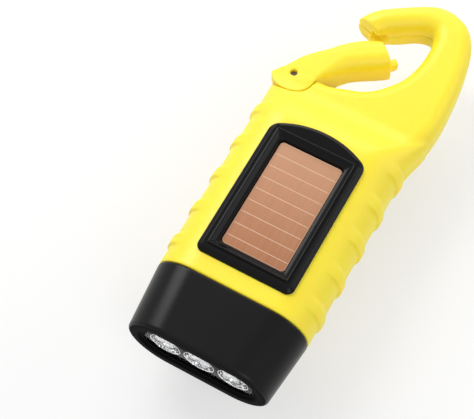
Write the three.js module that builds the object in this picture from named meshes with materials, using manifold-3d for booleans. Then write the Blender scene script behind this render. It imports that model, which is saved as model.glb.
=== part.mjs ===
// Hand crank flashlight with a solar cell on the front and a carabiner hook on top.
// Millimetres. X runs across the case, Y from the lens end to the hook, Z out of the solar cell.
// While it is built, the middle of the solar cell is at x = 0, y = 0, and the case halves meet at z = 0.
import * as THREE from 'three';
import { mergeVertices } from 'three/addons/utils/BufferGeometryUtils.js';
import Module from 'manifold-3d';

const wasm = await Module();
wasm.setup();

// Case, measured from the middle of the solar cell
const caseHalfWidth = 24.1;
const caseHalfDepth = 12.5;
const caseCorner = 12;
const cellToHead = 29.1;
const cellToShoulder = 25;
const shoulderLength = 16;
const shoulderFlare = 1.7;
const caseWall = 2.4;
const seamGap = 0.2;
const cavityTop = 34;

// Grip ribs on both flanks
const ribCount = 5;
const ribPitch = 12.1;
const topRibHeight = 27.2;
const ribProud = 0.8;
const ribHalfLength = 2.3;

// Hook and its loop
const hookReach = 62.05;
const hookHalfDepth = 6.45;
const hookRound = 2.8;
const hookSpan = 27.1;

// Gate of the hook
const pinAcross = 19.3;
const pinHeight = 43.2;
const gateRootRadius = 6.7;
const gateClearance = 0.35;
const noseGap = 0.6;
const gatePinRadius = 1.05;
const gatePinRecess = 1.1;
const tongueHalfDepth = 2.2;
const tongueRadius = 4.7;
const nubLength = 2.8;
const nubWidth = 2.5;
const nubDepth = 3.4;
const gateLength = 30;
const gateEdge = 0.35;
const gateOpenAngle = THREE.MathUtils.degToRad(21.6);
const springWire = 0.5;
const springRadius = 1.9;
const springTurns = 2.5;
const springPitch = 0.85;

// Head
const headLength = 20.4;
const headEndHalfWidth = 22.2;
const headEndHalfDepth = 12;
const headWall = 1.8;
const headEdge = 1.3;
const headJointGap = 0.15;
const neckHalfWidth = 20.9;
const neckHalfDepth = 10.1;
const neckLength = 8.8;
const neckWall = 1.8;
const windowHalfWidth = 17.3;
const windowHalfHeight = 6.4;
const lipWidth = 1.4;
const lipDepth = 0.7;
const endWall = 1.35;
const lensThickness = 1;
const lensBorder = 1.2;
const gasketThickness = 0.8;
const seatGap = 0.05;

// Reflector and LEDs
const ledCount = 3;
const ledPitch = 10.75;
const cupRadius = 5.15;
const cupDepth = 7.3;
const cupWall = 0.5;
const reflectorPlate = 0.9;
const ledRadius = 2.4;
const ledHeight = 5;
const ledFit = 0.3;
const ledBoardThickness = 1.2;

// Solar cell and its bezel
const cellWidth = 19.8;
const cellLength = 35.9;
const cellThickness = 0.6;
const cellCorner = 1.2;
const cellSink = 0.3;
const padThickness = 0.5;
const cellFit = 0.3;
const bezelHalfWidth = 15.2;
const bezelBottom = 23.5;
const bezelTop = 26.1;
const bezelShoulder = 22;
const bezelProud = 1.8;
const bezelSlope = 1.5;
const bezelStep = 0.45;
const bezelCorner = 2;
const windowSlope = 0.9;

// Gear train
const gearModule = 0.55;
const wheelTeeth = 48;
const stepTeeth = 36;
const pinionTeeth = 12;
const toothBacklashShare = 0.12;
const toothTopShare = 0.85;
const toothRootShare = 1.2;
const pressureAngle = THREE.MathUtils.degToRad(22);
const gearFace = 2.1;
const gearLayerGap = 0.4;
const gearFloorGap = 0.6;
const crankBelowCell = 5;
const firstGearAngle = THREE.MathUtils.degToRad(60);
const secondGearAngle = THREE.MathUtils.degToRad(100);
const rotorAngle = THREE.MathUtils.degToRad(180);
const axleRadius = 1;
const runningFit = 0.06;
const axleBoss = 1.2;
const plateThickness = 1.2;
const plateRim = 3.4;
const platePostRadius = 2;

// Generator
const canRadius = 8.4;
const canHeight = 7.6;
const canWall = 0.7;
const coilThickness = 1.6;
const magnetRadius = 4.7;
const magnetHeight = 5;
const rotorShaftRadius = 0.8;

// Crank on the back
const crankRadius = 38;
const armThickness = 8;
const armHalfWidth = 7.8;
const armHubRadius = 8.6;
const armFlareShare = 1.3;
const hubTurn = THREE.MathUtils.degToRad(62);
const armGap = 1.4;
const armEdge = 0.8;
const shaftRadius = 2.5;
const bushWall = 1;
const bushFlange = 1.2;
const shaftInArm = 5.2;
const hubScrewHeadRadius = 2.7;
const slotHalfWidth = 4.5;
const slotEndGap = 0.8;
const bracketRound = 3.6;
const bracketLength = 4.6;
const foldPinRadius = 1.1;
const knobRadius = 3.7;
const knobLength = 14.4;
const knobGrooveCount = 10;
const knobGroove = 0.45;
const knobEndGap = 0.35;
const knobAxleRadius = 1.1;
const knobHeadRadius = 2.2;
const knobHeadHeight = 0.9;

// Push switch on the back
const buttonHeight = 22.7;
const buttonRadius = 3;
const buttonProud = 0.8;
const buttonTravel = 1;
const buttonFit = 0.35;
const buttonFlange = 0.7;
const buttonFlangeThickness = 0.8;
const switchSide = 5.8;
const switchDepth = 2.6;
const switchLeg = 1.6;
const stemRadius = 1.4;

// Battery and circuit board
const batteryRadius = 5;
const batteryLength = 27;
const batteryBelowCell = 21.5;
const batteryEdge = 0.8;
const clipThickness = 0.4;
const clipSide = 6;
const cradleThickness = 1.6;
const cradleAcross = 8;
const boardHalfWidth = 13;
const boardBottom = 13;
const boardTop = 21;
const boardThickness = 1.2;
const boardStandoff = 1.6;
const boardScrewInset = 2.6;

// Screws
const screwRadius = 1;
const screwHeadRadius = 1.9;
const screwHeadHeight = 1.2;
const screwHeadSink = 0.5;
const screwFit = 0.12;
const screwPostRadius = 2.7;
const screwBite = 4.2;
const hubScrewLength = 5.5;
const driveRadius = 0.8;
const driveDepth = 0.6;
const driveHalfWidth = 0.27;
const postGap = 0.95;
const lowerPostAcross = batteryLength / 2 + seatGap + clipThickness + postGap + screwPostRadius;
const lowerPostHeight = 22.6;
const upperPostAcross = 18.2;
const upperPostHeight = 28.4;

// Wires
const wireRadius = 0.5;

// One overrun serves every cut, and one distance every weld
const overrun = 2;
const weldDistance = 0.0001;

const headJoint = -cellToHead;
const headEnd = headJoint - headLength;
const shoulder = cellToShoulder;
const hookPlateStart = shoulder + shoulderLength;
const pinX = -pinAcross;

const satinYellow = { color: 0xffe81a, roughness: 0.42, metalness: 0 };
const satinBlack = { color: 0x1d1d20, roughness: 0.45, metalness: 0 };
const glossBlack = { color: 0x0c0c0e, roughness: 0.12, metalness: 0 };
const softBlack = { color: 0x232326, roughness: 0.8, metalness: 0 };
const steel = { color: 0xb9bdc2, roughness: 0.3, metalness: 1 };
const brass = { color: 0xc79a45, roughness: 0.32, metalness: 1 };
const chrome = { color: 0xf2f4f6, roughness: 0.08, metalness: 1 };
const boardGreen = { color: 0x1f6b3a, roughness: 0.5, metalness: 0 };
const whiteNylon = { color: 0xe9e6dc, roughness: 0.5, metalness: 0 };

const flashlight = new THREE.Group();

// Turns a closed geometry into a solid that can be cut and joined
function toSolid(geometry) {
  const bare = geometry.clone();
  for (const attribute of Object.keys(bare.attributes)) {
    if (attribute !== 'position') bare.deleteAttribute(attribute);
  }
  const welded = mergeVertices(bare, weldDistance);
  const corners = [];
  for (let start = 0; start < welded.index.count; start += 3) {
    const triangle = [0, 1, 2].map((corner) => welded.index.getX(start + corner));
    if (new Set(triangle).size === 3) corners.push(...triangle);
  }
  return new wasm.Manifold(new wasm.Mesh({
    numProp: 3,
    vertProperties: new Float32Array(welded.attributes.position.array),
    triVerts: new Uint32Array(corners),
  }));
}

function toGeometry(solid) {
  const result = solid.getMesh();
  const geometry = new THREE.BufferGeometry();
  geometry.setAttribute('position', new THREE.BufferAttribute(result.vertProperties, 3));
  geometry.setIndex(new THREE.BufferAttribute(result.triVerts, 1));
  geometry.computeVertexNormals();
  return geometry;
}

function addPiece(name, shape, finish) {
  const geometry = shape.isBufferGeometry ? shape : toGeometry(shape);
  const mesh = new THREE.Mesh(geometry, new THREE.MeshStandardMaterial(finish));
  mesh.name = name;
  flashlight.add(mesh);
  return mesh;
}

function union(...solids) {
  return solids.reduce((whole, next) => whole.add(next));
}

function cut(solid, ...tools) {
  return tools.reduce((rest, tool) => rest.subtract(tool), solid);
}

// A flat outline in x and y, from one z to another
function plate(outline, from, to, curveSegments = 3) {
  const settings = { depth: to - from, bevelEnabled: false, curveSegments };
  const geometry = new THREE.ExtrudeGeometry(outline, settings);
  return toSolid(geometry.translate(0, 0, from));
}

// The same with rounded edges all round
function roundedPlate(outline, from, to, round, bevelSegments = 2, curveSegments = 3) {
  const geometry = new THREE.ExtrudeGeometry(outline, {
    depth: to - from - 2 * round,
    bevelEnabled: true,
    bevelThickness: round,
    bevelSize: round,
    bevelOffset: -round,
    bevelSegments,
    curveSegments,
  });
  return geometry.translate(0, 0, from + round);
}

// An outline in x and z, from one y down to a lower one
function plateDownY(outline, from, to) {
  const settings = { depth: from - to, bevelEnabled: false, curveSegments: 4 };
  const geometry = new THREE.ExtrudeGeometry(outline, settings);
  return toSolid(geometry.rotateX(Math.PI / 2).translate(0, from, 0));
}

function box(fromX, toX, fromY, toY, fromZ, toZ) {
  const geometry = new THREE.BoxGeometry(toX - fromX, toY - fromY, toZ - fromZ);
  return toSolid(geometry.translate((fromX + toX) / 2, (fromY + toY) / 2, (fromZ + toZ) / 2));
}

function roundBar(radius, x, y, from, to, sides = 16) {
  const geometry = new THREE.CylinderGeometry(radius, radius, to - from, sides);
  return toSolid(geometry.rotateX(Math.PI / 2).translate(x, y, (from + to) / 2));
}

// A turned piece: the profile gives radius and height along Z
function turned(profile, x, y, sides = 20) {
  const points = profile.map(([radius, height]) => new THREE.Vector2(radius, height));
  const geometry = new THREE.LatheGeometry(points, sides);
  return geometry.rotateX(Math.PI / 2).translate(x, y, 0);
}

function roundedRectangle(halfWidth, halfHeight, corner) {
  const shape = new THREE.Shape();
  shape.moveTo(halfWidth - corner, -halfHeight);
  shape.absarc(halfWidth - corner, corner - halfHeight, corner, -Math.PI / 2, 0, false);
  shape.absarc(halfWidth - corner, halfHeight - corner, corner, 0, Math.PI / 2, false);
  shape.absarc(corner - halfWidth, halfHeight - corner, corner, Math.PI / 2, Math.PI, false);
  shape.absarc(corner - halfWidth, corner - halfHeight, corner, Math.PI, Math.PI * 1.5, false);
  return shape;
}

// A rectangle with fully rounded ends
function stadium(halfWidth, halfHeight) {
  return roundedRectangle(halfWidth, halfHeight, halfHeight - seatGap);
}

function circle(radius) {
  return new THREE.Shape().absarc(0, 0, radius, 0, Math.PI * 2, false);
}

// Half the depth of the case at a height: full on the grip, then a smooth shoulder down to the hook
function halfDepthAt(y) {
  const share = THREE.MathUtils.smoothstep(y, shoulder, shoulder + shoulderLength);
  return THREE.MathUtils.lerp(caseHalfDepth, hookHalfDepth, share);
}

// The same with the rounded flanks, at a place on the front or back
function surfaceDepthAt(x, y) {
  const share = THREE.MathUtils.smoothstep(y, shoulder, shoulder + shoulderLength);
  const corner = THREE.MathUtils.lerp(caseCorner, hookRound, share);
  const past = Math.max(Math.abs(x) - caseHalfWidth + corner, 0);
  return halfDepthAt(y) - corner + Math.sqrt(corner ** 2 - past ** 2);
}

// One ring of a loft: a rounded rectangle in x and z at height y
function ovalRing(left, right, halfDepth, corner, y) {
  const steps = 5;
  const quarters = [[1, 1], [-1, 1], [-1, -1], [1, -1]];
  const ring = [];
  quarters.forEach(([sideX, sideZ], quarter) => {
    const centreX = sideX > 0 ? right - corner : left + corner;
    const centreZ = sideZ * (halfDepth - corner);
    for (let step = 0; step <= steps; step += 1) {
      const angle = (quarter + step / steps) * Math.PI / 2;
      const x = centreX + corner * Math.cos(angle);
      ring.push(new THREE.Vector3(x, y, centreZ + corner * Math.sin(angle)));
    }
  });
  return ring;
}

// Joins rings of equal count, lowest first, into one closed solid
function loft(rings) {
  const count = rings[0].length;
  const positions = rings.flat().flatMap((point) => point.toArray());
  const index = [];
  for (let level = 0; level + 1 < rings.length; level += 1) {
    for (let step = 0; step < count; step += 1) {
      const next = (step + 1) % count;
      const low = level * count;
      const high = low + count;
      index.push(low + step, high + step, high + next, low + step, high + next, low + next);
    }
  }
  const last = (rings.length - 1) * count;
  for (let step = 1; step + 1 < count; step += 1) {
    index.push(0, step, step + 1);
    index.push(last, last + step + 1, last + step);
  }
  const geometry = new THREE.BufferGeometry();
  geometry.setAttribute('position', new THREE.Float32BufferAttribute(positions, 3));
  geometry.setIndex(index);
  return toSolid(geometry);
}

// How far the ribs stand out of the flank at a height
function ribProudAt(y) {
  let proud = 0;
  for (let rib = 0; rib < ribCount; rib += 1) {
    const share = Math.abs(y - (topRibHeight - rib * ribPitch)) / ribHalfLength;
    if (share < 1) proud = ribProud * (1 - share ** 3);
  }
  return proud;
}

// Heights of the case's rings, from the head joint up; a rib that reaches the joint ends there
function gripStations() {
  const stations = [headJoint];
  const ribShares = [-1, -0.65, 0.65, 1];
  for (let rib = ribCount - 1; rib >= 0; rib -= 1) {
    const middle = topRibHeight - rib * ribPitch;
    stations.push(...ribShares.map((share) => middle + share * ribHalfLength));
  }
  const shoulderShares = [0.42, 0.55, 0.7, 0.85, 1];
  stations.push(...shoulderShares.map((share) => shoulder + share * shoulderLength));
  return stations.filter((y) => y >= headJoint).sort((low, high) => low - high);
}

function caseBody() {
  const rings = gripStations().map((y) => {
    const share = THREE.MathUtils.smoothstep(y, shoulder, shoulder + shoulderLength);
    const corner = THREE.MathUtils.lerp(caseCorner, hookRound, share);
    const proud = ribProudAt(y);
    const right = caseHalfWidth + proud + shoulderFlare * share;
    return ovalRing(-caseHalfWidth - proud, right, halfDepthAt(y) - share * seatGap, corner, y);
  });
  return loft(rings);
}

function caseCavity() {
  const stationShares = [0, 0.5, 1];
  const stations = [headJoint - overrun];
  stations.push(...stationShares.map((share) => shoulder + share * (cavityTop - shoulder)));
  const rings = stations.map((y) => {
    const share = THREE.MathUtils.smoothstep(y, shoulder, shoulder + shoulderLength);
    const corner = THREE.MathUtils.lerp(caseCorner - caseWall, hookRound, share);
    const side = caseHalfWidth - caseWall;
    return ovalRing(-side, side, halfDepthAt(y) - caseWall, corner, y);
  });
  return loft(rings);
}

// Follows an edge: straight on its first and last stretches, smooth between them
function followEdge(shape, points) {
  if (shape.curves.length > 0) shape.lineTo(points[0].x, points[0].y);
  else shape.moveTo(points[0].x, points[0].y);
  shape.lineTo(points[1].x, points[1].y);
  shape.splineThru(points.slice(2, -1));
  shape.lineTo(points.at(-1).x, points.at(-1).y);
}

// Outline of the hook, as shares of its span across and of its reach above the shoulder.
// Past the nose it runs on to a square end, which noseSpace takes away.
const loopEdgeShares = [
  [-0.413, 0.329], [-0.28, 0.334], [-0.085, 0.363], [0.022, 0.377], [0.166, 0.413], [0.292, 0.467],
  [0.369, 0.509], [0.421, 0.567], [0.454, 0.65], [0.465, 0.725], [0.458, 0.79], [0.417, 0.848],
  [0.325, 0.855], [0.218, 0.835], [0.074, 0.793], [-0.074, 0.749], [-0.2, 0.68], [-0.42, 0.564],
];
const hookOuterShares = [
  [-0.65, 0.657], [-0.413, 0.746], [-0.229, 0.849], [0.011, 0.922], [0.21, 0.969], [0.317, 0.995],
  [0.465, 1], [0.62, 0.985], [0.773, 0.934], [0.863, 0.865], [0.935, 0.759], [0.976, 0.616],
  [0.994, 0.503], [1, 0.408], [0.985, 0.306], [0.93, 0.218],
];
const hookBaseShares = [[0.81, 0.13], [0.5, 0.1]];
// Its foot ends inside the round space for the gate's root, at these shares up
const hookFootShares = [0.345, 0.113];

function hookPoint([across, up]) {
  return new THREE.Vector2(across * hookSpan, shoulder + up * hookReach);
}

// Gate about its pin, pressed open, as shares of its length across and up
const gateOuterShares = [
  [-0.16, -0.003], [-0.047, 0.217], [0.083, 0.407], [0.223, 0.577], [0.393, 0.713], [0.567, 0.8],
  [0.767, 0.893],
];
const gateInnerShares = [[0.907, 0.66], [0.707, 0.51], [0.473, 0.353], [0.267, 0.12], [0.153, -0.1]];
const gateRootShares = [[-0.203, -0.087], [-0.155, 0.01], [0.22, 0.04]];
const gateEndShares = [[0.603, 0.777], [0.8, 0.58]];
const nubPlaceShare = 0.64;

function gatePoint([across, up]) {
  return new THREE.Vector2(across * gateLength, up * gateLength);
}

function gateEndWidth() {
  const [outer, inner] = gateEndShares.map(gatePoint);
  return outer.distanceTo(inner);
}

function hookOutline() {
  const [footTop, footBase] = hookFootShares.map((up) => (
    new THREE.Vector2(pinX - caseWall, shoulder + up * hookReach)
  ));
  const shape = new THREE.Shape();
  followEdge(shape, [footTop, ...loopEdgeShares.map(hookPoint)]);
  followEdge(shape, hookOuterShares.map(hookPoint));
  [...hookBaseShares.map(hookPoint), footBase].forEach((point) => shape.lineTo(point.x, point.y));
  return shape;
}

function hookBlank() {
  const geometry = new THREE.ExtrudeGeometry(hookOutline(), {
    depth: 2 * (hookHalfDepth - hookRound),
    bevelEnabled: true,
    bevelThickness: hookRound,
    bevelSize: hookRound,
    bevelOffset: -hookRound,
    bevelSegments: 3,
    curveSegments: 2,
  });
  return toSolid(geometry.translate(0, 0, hookRound - hookHalfDepth));
}

// The lug between the cheeks of the gate, with the pocket for the gate's spring
function gateTongue() {
  const reach = gateRootRadius + gateClearance;
  const web = new THREE.Shape([
    new THREE.Vector2(-tongueRadius, 0),
    new THREE.Vector2(-tongueRadius, -reach - overrun),
    new THREE.Vector2(tongueRadius + overrun, -reach - overrun),
    new THREE.Vector2(tongueRadius, 0),
  ]);
  const lug = union(
    plate(web, -tongueHalfDepth, tongueHalfDepth),
    roundBar(tongueRadius, 0, 0, -tongueHalfDepth, tongueHalfDepth),
  );
  const pocketRadius = springRadius + springWire + gateClearance;
  const pocketHalfDepth = (springTurns * springPitch + springWire) / 2 + gateClearance;
  const pocket = roundBar(pocketRadius, 0, 0, -pocketHalfDepth, pocketHalfDepth);
  const past = tongueRadius + overrun;
  const mouth = box(-pocketRadius, pocketRadius, 0, past, -pocketHalfDepth, pocketHalfDepth);
  const bore = roundBar(gatePinRadius + runningFit, 0, 0, -past, past);
  return cut(lug, pocket, mouth, bore).translate([pinX, pinHeight, 0]);
}

// A box laid along the end of the gate, measured from the end's outer corner:
// along the end, out of the end, and in depth. It turns with the gate about the pin.
function boxAtGateEnd(fromAlong, toAlong, fromOut, toOut, halfDepth, turn) {
  const [outer, inner] = gateEndShares.map(gatePoint);
  const direction = Math.atan2(inner.y - outer.y, inner.x - outer.x);
  const geometry = new THREE.BoxGeometry(toAlong - fromAlong, toOut - fromOut, 2 * halfDepth);
  geometry.translate((fromAlong + toAlong) / 2, (fromOut + toOut) / 2, 0);
  geometry.rotateZ(direction).translate(outer.x, outer.y, 0);
  return toSolid(geometry.rotateZ(turn).translate(pinX, pinHeight, 0));
}

// What the gate's end takes from the nose of the hook once the gate is shut
function noseSpace() {
  const width = gateEndWidth();
  const depth = caseHalfDepth + overrun;
  const side = nubDepth / 2 + gateClearance;
  const nubStart = nubPlaceShare * width - nubWidth / 2 - gateClearance;
  const past = width + 2 * gateClearance;
  const end = boxAtGateEnd(-gateLength / 2, past, -gateLength / 2, noseGap, depth, gateOpenAngle);
  const slot = boxAtGateEnd(nubStart, width * 2, 0, nubLength + noseGap, side, gateOpenAngle);
  return end.add(slot);
}

// Room in the case for the inner edge of the open gate
function openGateSpace() {
  const [high, low] = gateInnerShares.slice(-2).map(gatePoint);
  const along = high.clone().sub(low).normalize();
  const out = new THREE.Vector2(along.y, -along.x).multiplyScalar(gateClearance);
  const corner = new THREE.Shape([new THREE.Vector2(), low.add(out), high.add(out)]);
  const depth = caseHalfDepth + overrun;
  return plate(corner, -depth, depth).translate([pinX, pinHeight, 0]);
}

// Neck that the head cap slides over
function neck() {
  const top = headJoint + caseWall;
  const end = headJoint - neckLength;
  const inside = stadium(neckHalfWidth - neckWall, neckHalfDepth - neckWall);
  return {
    collar: plateDownY(stadium(neckHalfWidth, neckHalfDepth), top, end),
    bore: plateDownY(inside, top + overrun, end - overrun),
  };
}

function endWallBehindNeck() {
  const outline = stadium(caseHalfWidth - caseWall / 2, caseHalfDepth - caseWall / 2);
  return plateDownY(outline, headJoint + caseWall, headJoint);
}

const crankX = 0;
const crankY = -crankBelowCell;
const firstDistance = gearModule * (wheelTeeth + pinionTeeth) / 2;
const laterDistance = gearModule * (stepTeeth + pinionTeeth) / 2;
const firstX = crankX + firstDistance * Math.cos(firstGearAngle);
const firstY = crankY + firstDistance * Math.sin(firstGearAngle);
const secondX = firstX + laterDistance * Math.cos(secondGearAngle);
const secondY = firstY + laterDistance * Math.sin(secondGearAngle);
const rotorX = secondX + laterDistance * Math.cos(rotorAngle);
const rotorY = secondY + laterDistance * Math.sin(rotorAngle);
const cavityFloor = caseWall - caseHalfDepth;
const cavityRoof = caseHalfDepth - caseWall;
const layerHeight = gearFace + gearLayerGap;
const layerOne = cavityFloor + gearFloorGap;
const layerTwo = layerOne + layerHeight;
const layerThree = layerTwo + layerHeight;
const plateFloor = layerThree + layerHeight;
const plateRoof = plateFloor + plateThickness;

const lowerPostDepth = surfaceDepthAt(lowerPostAcross + screwHeadRadius, -lowerPostHeight);
const upperPostDepth = surfaceDepthAt(upperPostAcross + screwHeadRadius, upperPostHeight);
const casePosts = [
  [-lowerPostAcross, -lowerPostHeight, lowerPostDepth],
  [lowerPostAcross, -lowerPostHeight, lowerPostDepth],
  [-upperPostAcross, upperPostHeight, upperPostDepth],
  [upperPostAcross, upperPostHeight, upperPostDepth],
];
const hookScrewShares = [[0.735, 0.52], [0.16, 0.868]];
const hookScrews = hookScrewShares.map(hookPoint).map((point) => [point.x, point.y, hookHalfDepth]);
const caseScrews = [...casePosts, ...hookScrews];

// Where a screw's head seats, on the back
function screwSeat(depth) {
  return screwHeadSink + screwHeadHeight - depth;
}

function screwHoles() {
  const tools = caseScrews.flatMap(([x, y, depth]) => {
    const seat = screwSeat(depth);
    return [
      roundBar(screwHeadRadius + screwFit, x, y, -caseHalfDepth - overrun, seat),
      roundBar(screwRadius + screwFit, x, y, seat - screwHeadHeight, screwBite + screwFit, 12),
    ];
  });
  return union(...tools);
}

function frontPocket() {
  const floor = caseHalfDepth - cellSink - cellThickness - padThickness;
  const opening = roundedRectangle(cellWidth / 2 + cellFit, cellLength / 2 + cellFit, cellCorner);
  const wireY = cellLength / 2 - 2 * cellCorner;
  const wireHole = roundBar(wireRadius + cellFit, 0, wireY, floor - overrun, floor + cellFit, 12);
  return plate(opening, floor, caseHalfDepth + overrun).add(wireHole);
}

function backHoles() {
  const low = -caseHalfDepth - overrun;
  const high = cavityFloor + overrun;
  const bush = roundBar(shaftRadius + bushWall + seatGap, crankX, crankY, low, high, 20);
  const button = roundBar(buttonRadius + buttonFit, 0, -buttonHeight, low, high, 20);
  const axles = [[firstX, firstY], [secondX, secondY]].map(([x, y]) => (
    roundBar(axleRadius + seatGap, x, y, cavityFloor - axleBoss, high)
  ));
  return union(bush, button, ...axles);
}

function cradles() {
  const y = -batteryBelowCell;
  const half = cradleThickness / 2;
  const ribs = [-cradleAcross, cradleAcross].map((x) => (
    box(x - half, x + half, y - batteryRadius / 2, y + batteryRadius / 2, cavityFloor - seatGap, 0)
  ));
  const radius = batteryRadius + seatGap;
  const seat = new THREE.CylinderGeometry(radius, radius, batteryLength, 20).rotateZ(Math.PI / 2);
  return cut(union(...ribs), toSolid(seat.translate(0, y, 0)));
}

function postsInside(body) {
  const posts = casePosts.map(([x, y]) => roundBar(screwPostRadius, x, y, -caseHalfDepth, caseHalfDepth));
  return union(...posts).intersect(body);
}

function boardPosts() {
  const roof = cavityRoof + seatGap;
  return union(...boardScrewPlaces().map(([x, y]) => (
    roundBar(boardScrewInset - seatGap, x, y, cavityRoof - boardStandoff, roof, 12)
  )));
}

function boardScrewPlaces() {
  const x = boardHalfWidth - boardScrewInset;
  return [[-x, boardScrewInset - boardBottom], [x, boardScrewInset - boardBottom]];
}

function boardScrewHoles() {
  const floor = cavityRoof - boardStandoff - overrun;
  const roof = cavityRoof - seatGap;
  const radius = screwRadius + screwFit;
  return union(...boardScrewPlaces().map(([x, y]) => roundBar(radius, x, y, floor, roof, 12)));
}

function gearPlatePosts() {
  return union(...platePostPlaces().map(([x, y]) => (
    roundBar(platePostRadius, x, y, cavityFloor - seatGap, plateFloor - seatGap, 12)
  )));
}

function platePostPlaces() {
  const side = gearModule * wheelTeeth / 2 + plateRim;
  return [[-side, crankY - plateRim], [side, crankY - plateRim], [-side, crankY + 2 * plateRim]];
}

function addCase() {
  const body = caseBody();
  const { collar, bore } = neck();
  const gateSpace = roundBar(
    gateRootRadius + gateClearance, pinX, pinHeight, -caseHalfDepth - overrun, caseHalfDepth + overrun, 32,
  );
  const hollow = caseCavity().subtract(endWallBehindNeck());
  const walls = cut(union(body, hookBlank()), gateSpace, openGateSpace(), hollow);
  const whole = cut(
    union(walls, gateTongue(), postsInside(body), collar),
    bore,
    noseSpace(),
    screwHoles(),
    frontPocket(),
    backHoles(),
  );
  const reach = hookReach + cellToShoulder + cellToHead;
  const half = seamGap / 2;
  const across = caseHalfWidth + overrun + shoulderFlare;
  const frontSpace = box(-across, across + overrun, -reach, reach, half, caseHalfDepth + overrun);
  const backSpace = box(-across, across + overrun, -reach, reach, -caseHalfDepth - overrun, -half);
  const front = cut(union(whole.intersect(frontSpace), boardPosts()), boardScrewHoles());
  const back = union(whole.intersect(backSpace), cradles().intersect(backSpace), gearPlatePosts());
  addPiece('front_shell', front, satinYellow);
  addPiece('back_shell', back, satinYellow);
}

// Screw with a countersunk round head and a driven recess, head downwards
function screwShape(x, y, headFloor, headHeight, headRadius, length) {
  const tip = headFloor + headHeight + length;
  const body = turned([
    [0, headFloor],
    [headRadius, headFloor],
    [headRadius, headFloor + headHeight],
    [screwRadius, headFloor + headHeight],
    [screwRadius, tip - screwRadius],
    [0, tip],
  ], x, y, 12);
  const arm = driveHalfWidth;
  const recess = union(
    box(x - driveRadius, x + driveRadius, y - arm, y + arm, headFloor - overrun, headFloor + driveDepth),
    box(x - arm, x + arm, y - driveRadius, y + driveRadius, headFloor - overrun, headFloor + driveDepth),
  );
  return cut(toSolid(body), recess);
}

function addCaseScrews() {
  const names = [
    'lower_left_screw', 'lower_right_screw', 'upper_left_screw', 'upper_right_screw',
    'hook_spine_screw', 'hook_nose_screw',
  ];
  caseScrews.forEach(([x, y, depth], place) => {
    const seat = screwSeat(depth) - seatGap;
    const length = screwBite - seat;
    const screw = screwShape(x, y, seat - screwHeadHeight, screwHeadHeight, screwHeadRadius, length);
    addPiece(names[place], screw, steel);
  });
}

function gateBar() {
  const shape = new THREE.Shape();
  followEdge(shape, gateOuterShares.map(gatePoint));
  followEdge(shape, gateInnerShares.map(gatePoint));
  return roundedPlate(shape, -hookHalfDepth, hookHalfDepth, hookRound, 3, 2);
}

function gateRoot() {
  const [heel, back, front] = gateRootShares.map(gatePoint);
  const shape = new THREE.Shape();
  shape.absarc(0, 0, gateRootRadius, Math.atan2(heel.y, heel.x), Math.atan2(front.y, front.x), false);
  shape.lineTo(back.x, back.y);
  return roundedPlate(shape, -hookHalfDepth, hookHalfDepth, gateEdge, 1, 8);
}

// The gate is as deep as the case is beside it
function gradeDepth(geometry) {
  const position = geometry.attributes.position;
  for (let i = 0; i < position.count; i += 1) {
    const grown = halfDepthAt(pinHeight + position.getY(i)) / hookHalfDepth;
    position.setZ(i, position.getZ(i) * grown);
  }
  return toSolid(geometry);
}

function gateSlot() {
  const half = tongueHalfDepth + gateClearance;
  const reach = gateRootRadius + overrun;
  const sweep = box(-reach, reach, -reach, 0, -half, half);
  return union(sweep, roundBar(tongueRadius + gateClearance, 0, 0, -half, half, 24));
}

function addGate() {
  const width = gateEndWidth();
  const nubStart = nubPlaceShare * width - nubWidth / 2;
  const bore = roundBar(gatePinRadius + seatGap, 0, 0, -caseHalfDepth - overrun, caseHalfDepth + overrun);
  const blank = cut(union(gradeDepth(gateBar()), gradeDepth(gateRoot())), gateSlot(), bore)
    .translate([pinX, pinHeight, 0]);
  const beyond = boxAtGateEnd(-gateLength, width + gateLength, 0, gateLength, caseHalfDepth, 0);
  const nub = boxAtGateEnd(nubStart, nubStart + nubWidth, -nubLength, nubLength, nubDepth / 2, 0);
  addPiece('gate', union(cut(blank, beyond), nub), satinYellow);
  const end = hookHalfDepth - gatePinRecess;
  addPiece('gate_pin', roundBar(gatePinRadius, pinX, pinHeight, -end, end), steel);
  addPiece('gate_spring', gateSpring(), steel);
}

// Torsion spring round the pin, with one straight leg at each end
function gateSpring() {
  const perTurn = 10;
  const top = springPitch * springTurns / 2;
  const points = [new THREE.Vector3(-springRadius, tongueRadius - springWire, -top)];
  for (let step = 0; step <= springTurns * perTurn; step += 1) {
    const angle = Math.PI + step / perTurn * Math.PI * 2;
    const rise = springPitch * step / perTurn - top;
    points.push(new THREE.Vector3(springRadius * Math.cos(angle), springRadius * Math.sin(angle), rise));
  }
  points.push(new THREE.Vector3(springRadius, tongueRadius - springWire, top));
  const path = new THREE.CatmullRomCurve3(points, false, 'centripetal');
  const wire = circle(springWire / 2);
  const settings = { steps: points.length, curveSegments: 3, extrudePath: path };
  const geometry = new THREE.ExtrudeGeometry(wire, settings);
  return geometry.translate(pinX, pinHeight, 0);
}

// Half width and half depth of the head at a height, and how much of its end edge is rounded off
function headRing(y, inset) {
  const share = (headJoint - y) / headLength;
  const side = THREE.MathUtils.lerp(caseHalfWidth, headEndHalfWidth, share) - inset;
  const depth = THREE.MathUtils.lerp(caseHalfDepth, headEndHalfDepth, share) - inset;
  const corner = Math.min(caseCorner - inset, depth - seatGap);
  return ovalRing(-side, side, depth, corner, y);
}

const lensFace = headEnd + endWall;
const lensBack = lensFace + seatGap + lensThickness;
const gasketBack = lensBack + seatGap + gasketThickness;
const reflectorFace = lensBack + 2 * seatGap;
const boardFace = headJoint - neckLength - seatGap - ledBoardThickness;

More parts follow.
